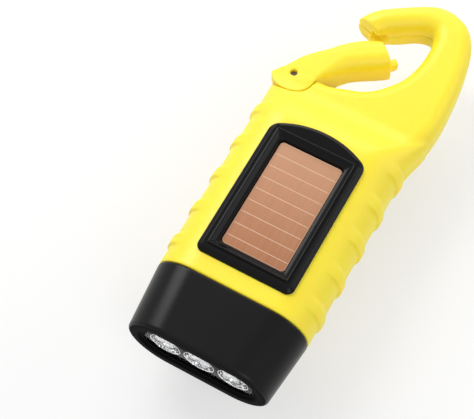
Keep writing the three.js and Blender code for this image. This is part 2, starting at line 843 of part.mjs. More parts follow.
function addHead() {
  const edgeShares = [[1, 0], [0.7, 0.3], [0, 1]];
  const roundedEnd = edgeShares.map(([inset, rise]) => (
    headRing(headEnd + rise * headEdge, inset * headEdge)
  ));
  const outside = loft([...roundedEnd, headRing(headJoint - headJointGap, 0)]);
  const inside = loft([headRing(headEnd + endWall, headWall), headRing(headJoint + overrun, headWall)]);
  const below = headEnd - overrun;
  const window = plateDownY(stadium(windowHalfWidth, windowHalfHeight), headEnd + endWall + overrun, below);
  const lipEdge = stadium(windowHalfWidth + lipWidth, windowHalfHeight + lipWidth);
  const lip = plateDownY(lipEdge, headEnd + lipDepth, below);
  addPiece('head_cap', cut(outside, inside, window, lip), satinBlack);
}

function addLens() {
  const outline = stadium(windowHalfWidth + lensBorder, windowHalfHeight + lensBorder);
  const clear = { color: 0xffffff, roughness: 0.03, metalness: 0, transparent: true, opacity: 0.35 };
  addPiece('lens', plateDownY(outline, lensBack, lensFace + seatGap), clear);
  const window = stadium(windowHalfWidth, windowHalfHeight);
  const opening = plateDownY(window, gasketBack + overrun, lensBack - overrun);
  addPiece('lens_gasket', cut(plateDownY(outline, gasketBack, lensBack + seatGap), opening), softBlack);
}

// Turns a profile of radius and distance from the reflector's face about a line along Y
function turnedAlongY(profile, x, sides = 20) {
  const points = profile.map(([radius, depth]) => new THREE.Vector2(radius, depth));
  return toSolid(new THREE.LatheGeometry(points, sides).translate(x, reflectorFace, 0));
}

function ledPlaces() {
  return Array.from({ length: ledCount }, (_, led) => (led - (ledCount - 1) / 2) * ledPitch);
}

function addReflector() {
  const throat = ledRadius + ledFit;
  const depth = boardFace - reflectorFace - seatGap;
  const bendShares = [[0.5, 0.7]];
  const curve = bendShares.map(([down, out]) => [throat + (cupRadius - throat) * out, down * cupDepth]);
  const outsideCurve = curve.map(([radius, down]) => [radius + cupWall, down]);
  const cups = ledPlaces().map((x) => turnedAlongY([
    [0, 0], [cupRadius + cupWall, 0], ...outsideCurve, [throat + cupWall, depth], [0, depth],
  ], x));
  const hollows = ledPlaces().map((x) => turnedAlongY([
    [0, -overrun], [cupRadius, -overrun], [cupRadius, 0], ...curve, [throat, cupDepth],
    [throat, depth + overrun], [0, depth + overrun],
  ], x));
  const faceOutline = stadium(windowHalfWidth - ledFit, windowHalfHeight - ledFit);
  const face = plateDownY(faceOutline, reflectorFace + reflectorPlate, reflectorFace);
  addPiece('reflector', cut(union(face, ...cups), ...hollows), chrome);
}

function addLeds() {
  const clear = { color: 0xf4f6ea, roughness: 0.06, metalness: 0 };
  const top = boardFace - reflectorFace - seatGap;
  const names = ['left_led', 'middle_led', 'right_led'];
  const straight = ledHeight - ledRadius;
  const domeShares = [0, 0.3, 0.65];
  const dome = domeShares.map((share) => {
    const angle = share * Math.PI / 2;
    return [ledRadius * Math.cos(angle), top - straight - ledRadius * Math.sin(angle)];
  });
  ledPlaces().forEach((x, led) => {
    const profile = [[0, top - ledHeight], ...dome.reverse(), [ledRadius, top], [0, top]];
    addPiece(names[led], turnedAlongY(profile, x, 16), clear);
  });
  const board = roundedRectangle(
    neckHalfWidth - 2 * ledFit, neckHalfDepth - 2 * ledFit, neckHalfDepth - neckWall,
  );
  addPiece('led_board', plateDownY(board, boardFace + ledBoardThickness, boardFace), boardGreen);
}

// Outline of the bezel: straight sides and foot, and a shallow arch over the top
function bezelOutline(inset) {
  const side = bezelHalfWidth - inset;
  const foot = -bezelBottom + inset;
  const corner = bezelCorner;
  const rise = bezelTop - bezelShoulder;
  const archRadius = (bezelHalfWidth ** 2 + rise ** 2) / (2 * rise) - inset;
  const archCentre = bezelTop - inset - archRadius;
  const spread = Math.asin((side - corner) / archRadius);
  const shape = new THREE.Shape();
  shape.moveTo(side - corner, foot);
  shape.absarc(side - corner, foot + corner, corner, -Math.PI / 2, 0, false);
  const shoulderY = archCentre + archRadius * Math.cos(spread) - corner;
  shape.lineTo(side, shoulderY);
  shape.absarc(0, archCentre, archRadius, Math.PI / 2 - spread, Math.PI / 2 + spread, false);
  shape.lineTo(-side, shoulderY);
  shape.absarc(corner - side, foot + corner, corner, Math.PI, Math.PI * 1.5, false);
  return shape;
}

function addSolarPanel() {
  const floor = caseHalfDepth + seatGap;
  const top = caseHalfDepth + bezelProud;
  const tall = toSolid(roundedPlate(bezelOutline(0), floor - 2 * bezelSlope, top, bezelSlope, 2, 5));
  const above = box(-caseHalfWidth, caseHalfWidth, -cellToHead, hookPlateStart, floor, top + overrun);
  const inner = plate(bezelOutline(2 * bezelSlope), top - bezelStep, top + overrun);
  const opening = roundedRectangle(cellWidth / 2 + cellFit, cellLength / 2 + cellFit, cellCorner);
  const slope = new THREE.ExtrudeGeometry(opening, {
    depth: overrun,
    bevelEnabled: true,
    bevelThickness: windowSlope,
    bevelSize: -windowSlope,
    bevelSegments: 1,
    bevelOffset: windowSlope,
    curveSegments: 3,
  });
  const flare = toSolid(slope.translate(0, 0, top - bezelStep));
  const hole = plate(opening, floor - overrun, top + overrun);
  addPiece('solar_bezel', cut(tall.intersect(above), inner, flare, hole), glossBlack);

  const padFloor = caseHalfDepth - cellSink - cellThickness - padThickness + seatGap;
  const cellFloor = caseHalfDepth - cellSink - cellThickness + seatGap;
  const cell = roundedRectangle(cellWidth / 2, cellLength / 2, cellCorner);
  const copper = { color: 0xc08a66, roughness: 0.3, metalness: 0.1 };
  addPiece('solar_pad', plate(cell, padFloor, cellFloor - seatGap), softBlack);
  addPiece('solar_cell', plate(cell, cellFloor, cellFloor + cellThickness), copper);
}

// Involute gear outline, with one tooth centred on the given angle
function gearShape(teeth, turn, bore) {
  const pitchRadius = gearModule * teeth / 2;
  const baseRadius = pitchRadius * Math.cos(pressureAngle);
  const tip = pitchRadius + toothTopShare * gearModule;
  const root = pitchRadius - toothRootShare * gearModule;
  const involute = (radius) => {
    const angle = Math.acos(Math.min(1, baseRadius / radius));
    return Math.tan(angle) - angle;
  };
  const halfTooth = Math.PI / (2 * teeth) * (1 - toothBacklashShare);
  const halfAt = (radius) => Math.max(halfTooth + involute(pitchRadius) - involute(radius), 0);
  const radii = teeth > pinionTeeth ? [root, tip] : [root, pitchRadius, tip];
  const points = [];
  for (let tooth = 0; tooth < teeth; tooth += 1) {
    const middle = turn + tooth * Math.PI * 2 / teeth;
    const rising = radii.map((radius) => [radius, middle - halfAt(radius)]);
    const falling = radii.map((radius) => [radius, middle + halfAt(radius)]).reverse();
    [...rising, ...falling].forEach(([radius, angle]) => {
      points.push(new THREE.Vector2(radius * Math.cos(angle), radius * Math.sin(angle)));
    });
  }
  const shape = new THREE.Shape(points);
  shape.holes.push(new THREE.Path().absarc(0, 0, bore, 0, Math.PI * 2, true));
  return shape;
}

function gearDisc(teeth, turn, bore, x, y, floor) {
  return plate(gearShape(teeth, turn, bore), floor, floor + gearFace, 8).translate([x, y, 0]);
}

// Turn that puts a gap, not a tooth, on the side that faces the wheel before it
function meshTurn(angleFromDriver) {
  return angleFromDriver + Math.PI + Math.PI / pinionTeeth;
}

function stepGear(x, y, driverAngle, nextAngle, floor) {
  const bore = axleRadius + runningFit;
  const pinion = gearDisc(pinionTeeth, meshTurn(driverAngle), bore, x, y, floor);
  const spacer = cut(
    roundBar(gearModule * pinionTeeth / 2 - 2 * gearModule, x, y, floor, floor + layerHeight + seatGap),
    roundBar(bore, x, y, floor - overrun, floor + layerHeight + overrun),
  );
  const wheel = gearDisc(stepTeeth, nextAngle, bore, x, y, floor + layerHeight);
  return union(pinion, spacer, wheel);
}

function addGears() {
  const drive = gearDisc(wheelTeeth, firstGearAngle, shaftRadius + seatGap, crankX, crankY, layerOne);
  addPiece('crank_gear', drive, whiteNylon);
  addPiece('first_gear', stepGear(firstX, firstY, firstGearAngle, secondGearAngle, layerOne), whiteNylon);
  addPiece('second_gear', stepGear(secondX, secondY, secondGearAngle, rotorAngle, layerTwo), whiteNylon);
  const axleFloor = cavityFloor - axleBoss + seatGap;
  addPiece('first_axle', roundBar(axleRadius, firstX, firstY, axleFloor, plateRoof), steel);
  addPiece('second_axle', roundBar(axleRadius, secondX, secondY, axleFloor, plateRoof), steel);
}

function addGearboxPlate() {
  const axes = [[crankX, crankY], [firstX, firstY], [secondX, secondY], [rotorX, rotorY]];
  const hubs = [...axes, ...platePostPlaces()];
  const discs = hubs.map(([x, y]) => roundBar(plateRim + axleRadius, x, y, plateFloor, plateRoof, 12));
  const webs = hubs.slice(1).map(([x, y], place) => {
    const [fromX, fromY] = place + 1 < axes.length ? axes[place] : axes[0];
    const length = Math.hypot(x - fromX, y - fromY);
    const web = new THREE.BoxGeometry(length, 2 * plateRim, plateThickness);
    web.rotateZ(Math.atan2(y - fromY, x - fromX));
    return toSolid(web.translate((x + fromX) / 2, (y + fromY) / 2, (plateFloor + plateRoof) / 2));
  });
  const seat = roundBar(canRadius, rotorX, rotorY, plateFloor, plateRoof, 24);
  const low = plateFloor - overrun;
  const high = plateRoof + overrun;
  const holes = union(
    roundBar(shaftRadius + runningFit, crankX, crankY, low, high, 20),
    roundBar(axleRadius + seatGap, firstX, firstY, low, high),
    roundBar(axleRadius + seatGap, secondX, secondY, low, high),
    roundBar(rotorShaftRadius + runningFit, rotorX, rotorY, low, high),
  );
  addPiece('gearbox_plate', cut(union(...discs, ...webs, seat), holes), whiteNylon);
}

function addGenerator() {
  const canFloor = plateRoof + seatGap;
  const canRoof = canFloor + canHeight;
  const inner = canRadius - canWall;
  const hole = rotorShaftRadius + runningFit;
  const can = turned([
    [inner, canFloor], [canRadius, canFloor], [canRadius, canRoof], [hole, canRoof],
    [hole, canRoof - canWall], [inner, canRoof - canWall], [inner, canFloor],
  ], rotorX, rotorY, 24);
  addPiece('generator_can', toSolid(can), steel);
  const coilOuter = inner - seatGap;
  const coil = turned([
    [coilOuter - coilThickness, canFloor], [coilOuter, canFloor], [coilOuter, canRoof - canWall - seatGap],
    [coilOuter - coilThickness, canRoof - canWall - seatGap], [coilOuter - coilThickness, canFloor],
  ], rotorX, rotorY, 24);
  addPiece('generator_coil', toSolid(coil), { color: 0xb0562a, roughness: 0.35, metalness: 0.8 });
  const magnetFloor = canFloor + (canHeight - canWall - magnetHeight) / 2;
  const magnet = cut(
    roundBar(magnetRadius, rotorX, rotorY, magnetFloor, magnetFloor + magnetHeight, 20),
    roundBar(rotorShaftRadius + seatGap, rotorX, rotorY, magnetFloor - overrun, canRoof),
  );
  addPiece('rotor_magnet', magnet, { color: 0x3a3b40, roughness: 0.6, metalness: 0.3 });
  const shaft = roundBar(rotorShaftRadius, rotorX, rotorY, layerThree - seatGap, canRoof - seatGap);
  addPiece('rotor_shaft', shaft, steel);
  const turn = meshTurn(rotorAngle);
  const pinion = gearDisc(pinionTeeth, turn, rotorShaftRadius + seatGap, rotorX, rotorY, layerThree);
  addPiece('rotor_pinion', pinion, brass);
}

const armRoof = -caseHalfDepth - armGap;
const armFloor = armRoof - armThickness;
const armMiddle = (armRoof + armFloor) / 2;
const foldY = crankY + crankRadius;
const knobFar = bracketLength + 2 * knobEndGap + knobLength + knobHeadHeight;

function addCrankShaft() {
  const inArm = armRoof - shaftInArm;
  const boreRoof = armRoof + hubScrewLength;
  const screwBore = roundBar(screwRadius + screwFit, crankX, crankY, inArm - overrun, boreRoof, 12);
  const shaft = roundBar(shaftRadius, crankX, crankY, inArm, plateRoof, 20);
  addPiece('crank_shaft', cut(shaft, screwBore), steel);
  const outer = shaftRadius + bushWall;
  const inner = shaftRadius + runningFit;
  const flangeFloor = -caseHalfDepth - armGap / 2;
  const bush = turned([
    [inner, flangeFloor], [outer + bushFlange, flangeFloor], [outer + bushFlange, -caseHalfDepth - seatGap],
    [outer, -caseHalfDepth - seatGap], [outer, cavityFloor], [inner, cavityFloor], [inner, flangeFloor],
  ], crankX, crankY, 20);
  addPiece('crank_bush', toSolid(bush), brass);
}

function armOutline() {
  const tipY = foldY + bracketRound + armEdge;
  const corner = armHalfWidth / 2;
  const waist = crankY + 2 * armHubRadius;
  const flare = crankY + armFlareShare * armHubRadius;
  const left = new THREE.Vector2(-armHubRadius, 0).rotateAround(new THREE.Vector2(), -hubTurn);
  const shape = new THREE.Shape();
  shape.absarc(crankX, crankY, armHubRadius, Math.PI - hubTurn, Math.PI * 2 + hubTurn, false);
  shape.quadraticCurveTo(armHalfWidth, flare, armHalfWidth, waist);
  shape.lineTo(armHalfWidth, tipY - corner);
  shape.absarc(armHalfWidth - corner, tipY - corner, corner, 0, Math.PI / 2, false);
  shape.absarc(corner - armHalfWidth, tipY - corner, corner, Math.PI / 2, Math.PI, false);
  shape.lineTo(-armHalfWidth, waist);
  shape.quadraticCurveTo(-armHalfWidth, flare, crankX + left.x, crankY + left.y);
  return shape;
}

// A round bar across the arm, along the line that the knob folds about
function acrossArm(radius, halfLength, sides = 16) {
  const bar = new THREE.CylinderGeometry(radius, radius, 2 * halfLength, sides);
  return toSolid(bar.rotateZ(Math.PI / 2).translate(crankX, foldY, armMiddle));
}

// A round bar along the arm, between two distances from that line
function alongArm(radius, from, to, sides = 16) {
  const bar = new THREE.CylinderGeometry(radius, radius, from - to, sides);
  return toSolid(bar.translate(crankX, foldY + (from + to) / 2, armMiddle));
}

function addCrankArm() {
  const blank = toSolid(roundedPlate(armOutline(), armFloor, armRoof, armEdge, 2, 8));
  const slotStart = foldY - knobFar - slotEndGap;
  const low = armFloor - overrun;
  const high = armRoof + overrun;
  const slot = box(-slotHalfWidth, slotHalfWidth, slotStart, foldY + crankRadius, low, high);
  const foldBore = acrossArm(foldPinRadius + seatGap, armHalfWidth + overrun);
  const shaftFloor = armRoof - shaftInArm - seatGap;
  const shaftBore = roundBar(shaftRadius + seatGap, crankX, crankY, shaftFloor, high, 20);
  const screwBore = roundBar(screwRadius + screwFit, crankX, crankY, low, armRoof, 12);
  const seat = armFloor + screwHeadSink + screwHeadHeight;
  const headBore = roundBar(hubScrewHeadRadius + screwFit, crankX, crankY, low, seat, 20);
  addPiece('crank_arm', cut(blank, slot, foldBore, shaftBore, screwBore, headBore), satinBlack);
  const headFloor = seat - screwHeadHeight - seatGap;
  const screw = screwShape(crankX, crankY, headFloor, screwHeadHeight, hubScrewHeadRadius, hubScrewLength);
  addPiece('hub_screw', screw, steel);
}

// The knob folds flat into the arm: its bracket turns on a pin across the fork
function addKnob() {
  addPiece('knob_fold_pin', acrossArm(foldPinRadius, armHalfWidth - armEdge / 2), steel);

  const side = slotHalfWidth - knobEndGap;
  const low = armMiddle - bracketRound;
  const block = box(-side, side, foldY - bracketLength, foldY, low, low + 2 * bracketRound);
  const bracket = cut(
    union(acrossArm(bracketRound, side, 24), block),
    acrossArm(foldPinRadius + runningFit, 2 * side),
    alongArm(knobAxleRadius + seatGap, -foldPinRadius * 2, -bracketLength - overrun),
  );
  addPiece('knob_bracket', bracket, satinBlack);

  const knobNear = -bracketLength - knobEndGap;
  const knobEnd = knobNear - knobLength;
  const grip = alongArm(knobRadius, knobNear, knobEnd, 30);
  const bore = alongArm(knobAxleRadius + runningFit, knobNear + overrun, knobEnd - overrun);
  const grooves = Array.from({ length: knobGrooveCount }, (_, groove) => {
    const angle = (groove + 0.5) * Math.PI * 2 / knobGrooveCount;
    const flute = new THREE.CylinderGeometry(knobGroove, knobGroove, knobLength - 2 * knobHeadHeight, 6);
    const x = knobRadius * Math.cos(angle);
    const z = armMiddle + knobRadius * Math.sin(angle);
    return toSolid(flute.translate(x, foldY + (knobNear + knobEnd) / 2, z));
  });
  addPiece('crank_knob', cut(grip, bore, ...grooves), satinBlack);
  const axle = union(
    alongArm(knobAxleRadius, -foldPinRadius * 2 - seatGap, knobEnd - knobEndGap),
    alongArm(knobHeadRadius, knobEnd - knobEndGap, knobEnd - knobEndGap - knobHeadHeight),
  );
  addPiece('knob_axle', axle, steel);
}

function addSwitch() {
  const y = -buttonHeight;
  const top = -caseHalfDepth - buttonProud;
  const flangeFloor = cavityFloor + seatGap;
  const flangeRoof = flangeFloor + buttonFlangeThickness;
  const edge = buttonProud / 2;
  const cap = turned([
    [0, top], [buttonRadius - edge, top], [buttonRadius, top + edge], [buttonRadius, flangeFloor],
    [buttonRadius + buttonFlange, flangeFloor], [buttonRadius + buttonFlange, flangeRoof], [0, flangeRoof],
  ], 0, y, 20);
  addPiece('button_cap', toSolid(cap), softBlack);
  const bodyFloor = flangeRoof + buttonTravel + knobEndGap;
  const half = switchSide / 2;
  const legStart = buttonRadius + buttonFlange + buttonFit;
  const across = legStart + switchLeg;
  const stemRoof = bodyFloor + switchDepth / 2;
  const wellRoof = bodyFloor + switchDepth - clipThickness;
  const well = roundBar(stemRadius + runningFit, 0, y, bodyFloor - overrun, wellRoof);
  const body = box(-across, across, y - half, y + half, bodyFloor, bodyFloor + switchDepth);
  const stem = roundBar(stemRadius, 0, y, flangeRoof + seatGap, stemRoof - buttonTravel / 2);
  const legs = [-across, legStart].map((from) => (
    box(from, from + switchLeg, y - half, y + half, cavityFloor + seatGap, bodyFloor + clipThickness)
  ));
  addPiece('switch_body', cut(union(body, ...legs), well), satinBlack);
  addPiece('switch_stem', stem, whiteNylon);
}

function addBattery() {
  const y = -batteryBelowCell;
  const half = batteryLength / 2;
  const profile = [
    [0, -half], [batteryRadius - batteryEdge, -half], [batteryRadius, batteryEdge - half],
    [batteryRadius, half - batteryEdge], [batteryRadius - batteryEdge, half], [0, half],
  ].map(([radius, height]) => new THREE.Vector2(radius, height));
  const pack = new THREE.LatheGeometry(profile, 20).rotateZ(-Math.PI / 2).translate(0, y, 0);
  addPiece('battery', toSolid(pack), { color: 0x2f8f5a, roughness: 0.4, metalness: 0 });
  const near = half + seatGap;
  const far = near + clipThickness;
  const side = clipSide / 2;
  addPiece('battery_tab_plus', box(near, far, y - side, y + side, -side, side), steel);
  addPiece('battery_tab_minus', box(-far, -near, y - side, y + side, -side, side), steel);
}

function addMainBoard() {
  const roof = cavityRoof - boardStandoff - seatGap;
  const floor = roof - boardThickness;
  const slab = box(-boardHalfWidth, boardHalfWidth, -boardBottom, boardTop, floor, roof);
  const holes = boardScrewPlaces().map(([x, y]) => (
    roundBar(screwRadius + screwFit, x, y, floor - overrun, roof + overrun, 12)
  ));
  addPiece('main_board', cut(slab, ...holes), boardGreen);
  const names = ['left_board_screw', 'right_board_screw'];
  boardScrewPlaces().forEach(([x, y], place) => {
    const headFloor = floor - seatGap - screwHeadHeight;
    const length = boardThickness + boardStandoff - seatGap;
    addPiece(names[place], screwShape(x, y, headFloor, screwHeadHeight, screwHeadRadius, length), steel);
  });
}

// A wire is a thin round bar along a smooth path through its points
function addWire(name, points, colour) {
  const places = points.map((point) => new THREE.Vector3(...point));
  const path = new THREE.CatmullRomCurve3(places, false, 'centripetal');
  const geometry = new THREE.ExtrudeGeometry(circle(wireRadius), {
    steps: points.length * 3, curveSegments: 3, extrudePath: path,
  });
  addPiece(name, geometry, { color: colour, roughness: 0.5, metalness: 0 });
}

function addWires() {
  const boardFloor = cavityRoof - boardStandoff - 2 * seatGap - boardThickness;
  const boardEdge = -boardBottom;
  const solder = wireRadius + seatGap;
  const ledTop = boardFace + ledBoardThickness + seatGap;
  const wireLow = boardFloor - solder;
  [-1, 1].forEach((side) => {
    const x = side * cradleAcross / 2;
    const name = side > 0 ? 'led_wire_red' : 'led_wire_black';
    const route = [
      [x, boardEdge + overrun, wireLow],
      [x, boardEdge, wireLow],
      [x, -batteryBelowCell, batteryRadius + 2 * wireRadius],
      [x, headJoint, neckHalfDepth / 2],
      [x, ledTop + overrun, neckHalfDepth / 3],
      [x, ledTop, neckHalfDepth / 3],
    ];
    addWire(name, route, side > 0 ? 0xb81f1f : 0x151515);
  });
}

addCase();
addCaseScrews();
addGate();
addHead();
addLens();
addReflector();
addLeds();
addSolarPanel();
addGears();
addGearboxPlate();
addGenerator();
addCrankShaft();
addCrankArm();
addKnob();
addSwitch();
addBattery();
addMainBoard();
addWires();

// The finished flashlight lies on its crank arm, with the origin under the middle of its box
const bounds = new THREE.Box3().setFromObject(flashlight, true);
const middle = bounds.getCenter(new THREE.Vector3());
flashlight.position.set(-middle.x, -middle.y, -bounds.min.z);
flashlight.updateMatrixWorld(true);

export default flashlight;
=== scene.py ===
import math
import bpy
import numpy as np
from mathutils import Matrix, Vector


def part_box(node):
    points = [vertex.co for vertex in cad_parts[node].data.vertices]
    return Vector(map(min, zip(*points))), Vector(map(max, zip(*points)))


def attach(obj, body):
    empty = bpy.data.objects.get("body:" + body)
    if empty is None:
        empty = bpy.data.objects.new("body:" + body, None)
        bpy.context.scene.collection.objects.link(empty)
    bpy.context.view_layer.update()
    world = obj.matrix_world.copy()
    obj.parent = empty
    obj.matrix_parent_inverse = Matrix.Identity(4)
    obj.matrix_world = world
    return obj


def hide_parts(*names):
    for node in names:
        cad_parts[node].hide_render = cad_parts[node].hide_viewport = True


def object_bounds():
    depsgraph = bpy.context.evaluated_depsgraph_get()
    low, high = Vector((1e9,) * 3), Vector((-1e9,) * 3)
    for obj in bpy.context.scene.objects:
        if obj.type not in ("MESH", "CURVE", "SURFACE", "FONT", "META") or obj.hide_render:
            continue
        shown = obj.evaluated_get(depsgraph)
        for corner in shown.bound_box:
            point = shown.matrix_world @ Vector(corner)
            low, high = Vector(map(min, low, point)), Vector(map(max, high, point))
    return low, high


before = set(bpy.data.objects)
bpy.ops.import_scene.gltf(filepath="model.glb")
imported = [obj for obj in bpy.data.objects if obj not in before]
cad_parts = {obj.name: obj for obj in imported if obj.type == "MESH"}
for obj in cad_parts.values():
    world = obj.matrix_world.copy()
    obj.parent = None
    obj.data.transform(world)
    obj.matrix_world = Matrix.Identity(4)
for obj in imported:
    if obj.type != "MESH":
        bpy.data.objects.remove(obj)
cad_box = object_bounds()

# Camera: a long lens that looks down on the front of the flashlight from the lens end, with the
# flashlight lying across the picture from the lower left to the upper right.
eye = Vector((0.0718187, -0.1710742, 0.3854266))
picture_right = Vector((0.8733632, 0.487032, -0.0060432))
picture_up = Vector((-0.4375012, 0.7898755, 0.429755))
towards_eye = Vector((0.2140778, -0.3726883, 0.9029253))
long_lens = bpy.data.cameras.new("camera")
long_lens.lens = 105.09
long_lens.sensor_width = 36.0
camera = bpy.data.objects.new("camera", long_lens)
turn = Matrix((picture_right, picture_up, towards_eye)).transposed()
camera.matrix_world = Matrix.Translation(eye) @ turn.to_4x4()
bpy.context.collection.objects.link(camera)
bpy.context.scene.camera = camera

# Floor, white room and lamps: a matt white table that keeps the shadow, a plain white surround, and
# four big soft lamps, the strongest above the upper left of the picture.
FLOOR_REACH = 4.0
FLOOR_BELOW = 0.0002
FLOOR_COLOUR = (0.9, 0.9, 0.9, 1)
WHITE = (1, 1, 1, 1)
SEEN_WHITE = 0.55
ROOM_LIGHT = 0.45


class Wire:
    """One output in a node tree. Sums and products on it place their Math nodes."""

    def __init__(self, paint, socket):
        self.paint = paint
        self.socket = socket

    def __add__(self, other):
        return self.paint.math("ADD", self, other)

    def __sub__(self, other):
        return self.paint.math("SUBTRACT", self, other)

    def __rsub__(self, other):
        return self.paint.math("SUBTRACT", other, self)

    def __mul__(self, other):
        return self.paint.math("MULTIPLY", self, other)

    def __mod__(self, other):
        return self.paint.math("FLOORED_MODULO", self, other)

    def __rmod__(self, other):
        return self.paint.math("FLOORED_MODULO", other, self)

    def __lt__(self, other):
        return self.paint.math("LESS_THAN", self, other)

    def __gt__(self, other):
        return self.paint.math("GREATER_THAN", self, other)

    def __abs__(self):
        return self.paint.math("ABSOLUTE", self)

    __radd__ = __add__
    __rmul__ = __mul__


class Paint:
    """A node tree that is being drawn, of a material or of the world."""

    def __init__(self, tree):
        self.tree = tree
        self.shader = tree.nodes.get("Principled BSDF")

    def node(self, kind, settings=None, inputs=None, output=0):
        """Adds a node: its settings first, then the values or links of its sockets."""
        made = self.tree.nodes.new(kind)
        for name, value in (settings or {}).items():
            setattr(made, name, value)
        for name, value in (inputs or {}).items():
            self.feed(made.inputs[name], value)
        return Wire(self, made.outputs[output])

    def feed(self, socket, value):
        if isinstance(value, Wire):
            self.tree.links.new(value.socket, socket)
        else:
            socket.default_value = value

    def math(self, operation, first, second=0.0):
        return self.node("ShaderNodeMath", {"operation": operation}, {0: first, 1: second})

    def mix(self, share, first, second):
        """Colour between first and second."""
        sockets = {0: share, 6: first, 7: second}
        return self.node("ShaderNodeMix", {"data_type": "RGBA"}, sockets, 2)

    def clamp(self, value):
        return self.node("ShaderNodeClamp", {}, {"Value": value})

    def show(self, share, first, second):
        """Lets the surface show one shader, or the other by a share."""
        blend = self.node("ShaderNodeMixShader", {}, {0: share, 1: first, 2: second})
        self.feed(self.tree.nodes["Material Output"].inputs["Surface"], blend)

    def seen(self):
        """1 for what the camera sees straight on, in a mirror or through glass."""
        rays = ("Is Camera Ray", "Is Glossy Ray", "Is Transmission Ray")
        direct, mirrored, through = [self.node("ShaderNodeLightPath", output=ray) for ray in rays]
        return self.clamp(direct + mirrored + through)


floor_mesh = bpy.data.meshes.new("floor")
floor_mesh.from_pydata(
    [(FLOOR_REACH * x, FLOOR_REACH * y, 0) for x, y in ((-1, -1), (1, -1), (1, 1), (-1, 1))],
    [], [(0, 1, 2, 3)],
)
floor = bpy.data.objects.new("floor", floor_mesh)
floor.location.z = cad_box[0].z - FLOOR_BELOW
bpy.context.collection.objects.link(floor)
table_top = bpy.data.materials.new("table_top")
table_top.use_nodes = True
paint = Paint(table_top.node_tree)
paint.tree.nodes.remove(paint.shader)
matt = paint.node("ShaderNodeBsdfDiffuse", {}, {"Color": FLOOR_COLOUR})
bright = paint.node("ShaderNodeEmission", {}, {"Color": WHITE, "Strength": 1.0})
paint.show(paint.seen() * SEEN_WHITE, matt, bright)
floor_mesh.materials.append(table_top)

world = bpy.data.worlds.new("white_room")
world.use_nodes = True
bpy.context.scene.world = world
paint = Paint(world.node_tree)
surround = world.node_tree.nodes["Background"]
surround.inputs["Color"].default_value = WHITE
paint.feed(surround.inputs["Strength"], paint.seen() * SEEN_WHITE + ROOM_LIGHT)

middle_of_all = (cad_box[0] + cad_box[1]) / 2
for name, right, up, out, distance, size, power in (
    ("key_lamp", -0.4, 0.86, 0.4, 0.6, 0.34, 2.2),
    ("front_lamp", 0.3, -0.3, 1.0, 0.8, 0.5, 1.5),
    ("side_lamp", 1.0, 0.3, 0.35, 0.7, 0.4, 0.7),
    ("top_lamp", 0.24, 0.97, 0.1, 0.6, 0.3, 0.8),
):
    softbox = bpy.data.lights.new(name, "AREA")
    softbox.shape = "SQUARE"
    softbox.size = size
    softbox.energy = power
    lamp = bpy.data.objects.new(name, softbox)
    direction = (right * picture_right + up * picture_up + out * towards_eye).normalized()
    lamp.location = middle_of_all + distance * direction
    lamp.rotation_mode = "QUATERNION"
    lamp.rotation_quaternion = direction.to_track_quat("Z", "Y")
    bpy.context.collection.objects.link(lamp)
bpy.context.scene.view_settings.view_transform = "Standard"

# Case halves: two deep shells of yellow plastic, moulded, with the hook in one piece with them.
# They meet at a fine seam and are held by screws from the back; ribs on both flanks give grip.
# Measures are in millimetres from the middle of the solar cell, with the seam at z = 0.
CELL_TOP = 12.25
HALF_WIDTH = 24.1
HALF_DEPTH = 12.5
CORNER = 12.0
WALL = 2.4
SEAM = 0.1
SEAM_ROUND = 0.35
HEAD_JOINT = -29.1
NECK_HALF_WIDTH = 20.9
NECK_HALF_DEPTH = 10.1
NECK_WALL = 1.8
NECK_LENGTH = 8.8
THROAT = (HEAD_JOINT - NECK_LENGTH - 3.2, HEAD_JOINT + WALL + 2.0)
CAVITY_TOP = 34.0
CAVITY_FLOOR = WALL - HALF_DEPTH
SHOULDER = 25.0
SHOULDER_LENGTH = 16.0
SHOULDER_FLARE = 1.7
SHOULDER_FILLET = 2.5
RIB_HEIGHTS = [27.2 - 12.1 * rib for rib in range(5)]
RIB_HALF_LENGTH = 2.3
RIB_PROUD = 0.8
RIB_STEEP = 0.5
RIB_SLOW = 1.5
RIB_FADE_END = 10.5
RIB_FADE_LENGTH = 4.0
HOOK_REACH = 62.05
HOOK_SPAN = 27.1
HOOK_HALF_DEPTH = 6.45
HOOK_ROUND = 4.2
HOOK_BACK_ROUND = 2.8
NOSE_THINNER = 1.7
NOSE_TAPER = 9.0
NOSE_REACH = 20.0
NOSE_GAP = 0.45
NOSE_SIDE_GAP = 0.7
NOSE_ROOM = 15.0
PIN = np.array([-19.3, 43.2])
GATE_LENGTH = 30.0
GATE_TURN = math.radians(21.6)
ROOT_RADIUS = 6.7
ROOT_GAP = 0.25
GATE_GAP = 0.35
GATE_ROOM = np.array([(0, 0), (4.9, -3.16), (8.32, 3.44)])
NUB_PLACE = 0.71
NUB_WIDTH = 2.5
NUB_LENGTH = 2.8
NUB_HALF_DEPTH = 1.7
NUB_END_GAP = 0.6
LUG_RADIUS = 4.7
LUG_HALF_DEPTH = 2.2
LUG_FOOT = 9.0
SPRING_ROOM = 2.75
SPRING_HALF_ROOM = 1.66
SPRING_MOUTH = 7.0
PIN_HOLE = 1.11
CELL_POCKET = (10.2, 18.25, 1.2)
POCKET_FLOOR = 11.1
CRANK_AT = (0.0, -5.0)
BUSH_HOLE = 3.55
BUTTON_AT = (0.0, -22.7)
BUTTON_HOLE = 3.35
HOLES_ROOF = -8.1
GEAR_POSTS = ((-16.6, -8.4), (16.6, -8.4), (-16.6, 1.8))
GEAR_POST_RADIUS = 2.0
GEAR_POST_END = -2.05
GEAR_POST_ROOT = 0.4
BATTERY_Y = -21.5
BATTERY_ROOM = 5.05
CRADLES = (-8.0, 8.0)
CRADLE_HALF_WIDTH = 0.8
CRADLE_HALF_LENGTH = 2.5
CRADLE_ROOT = 0.3
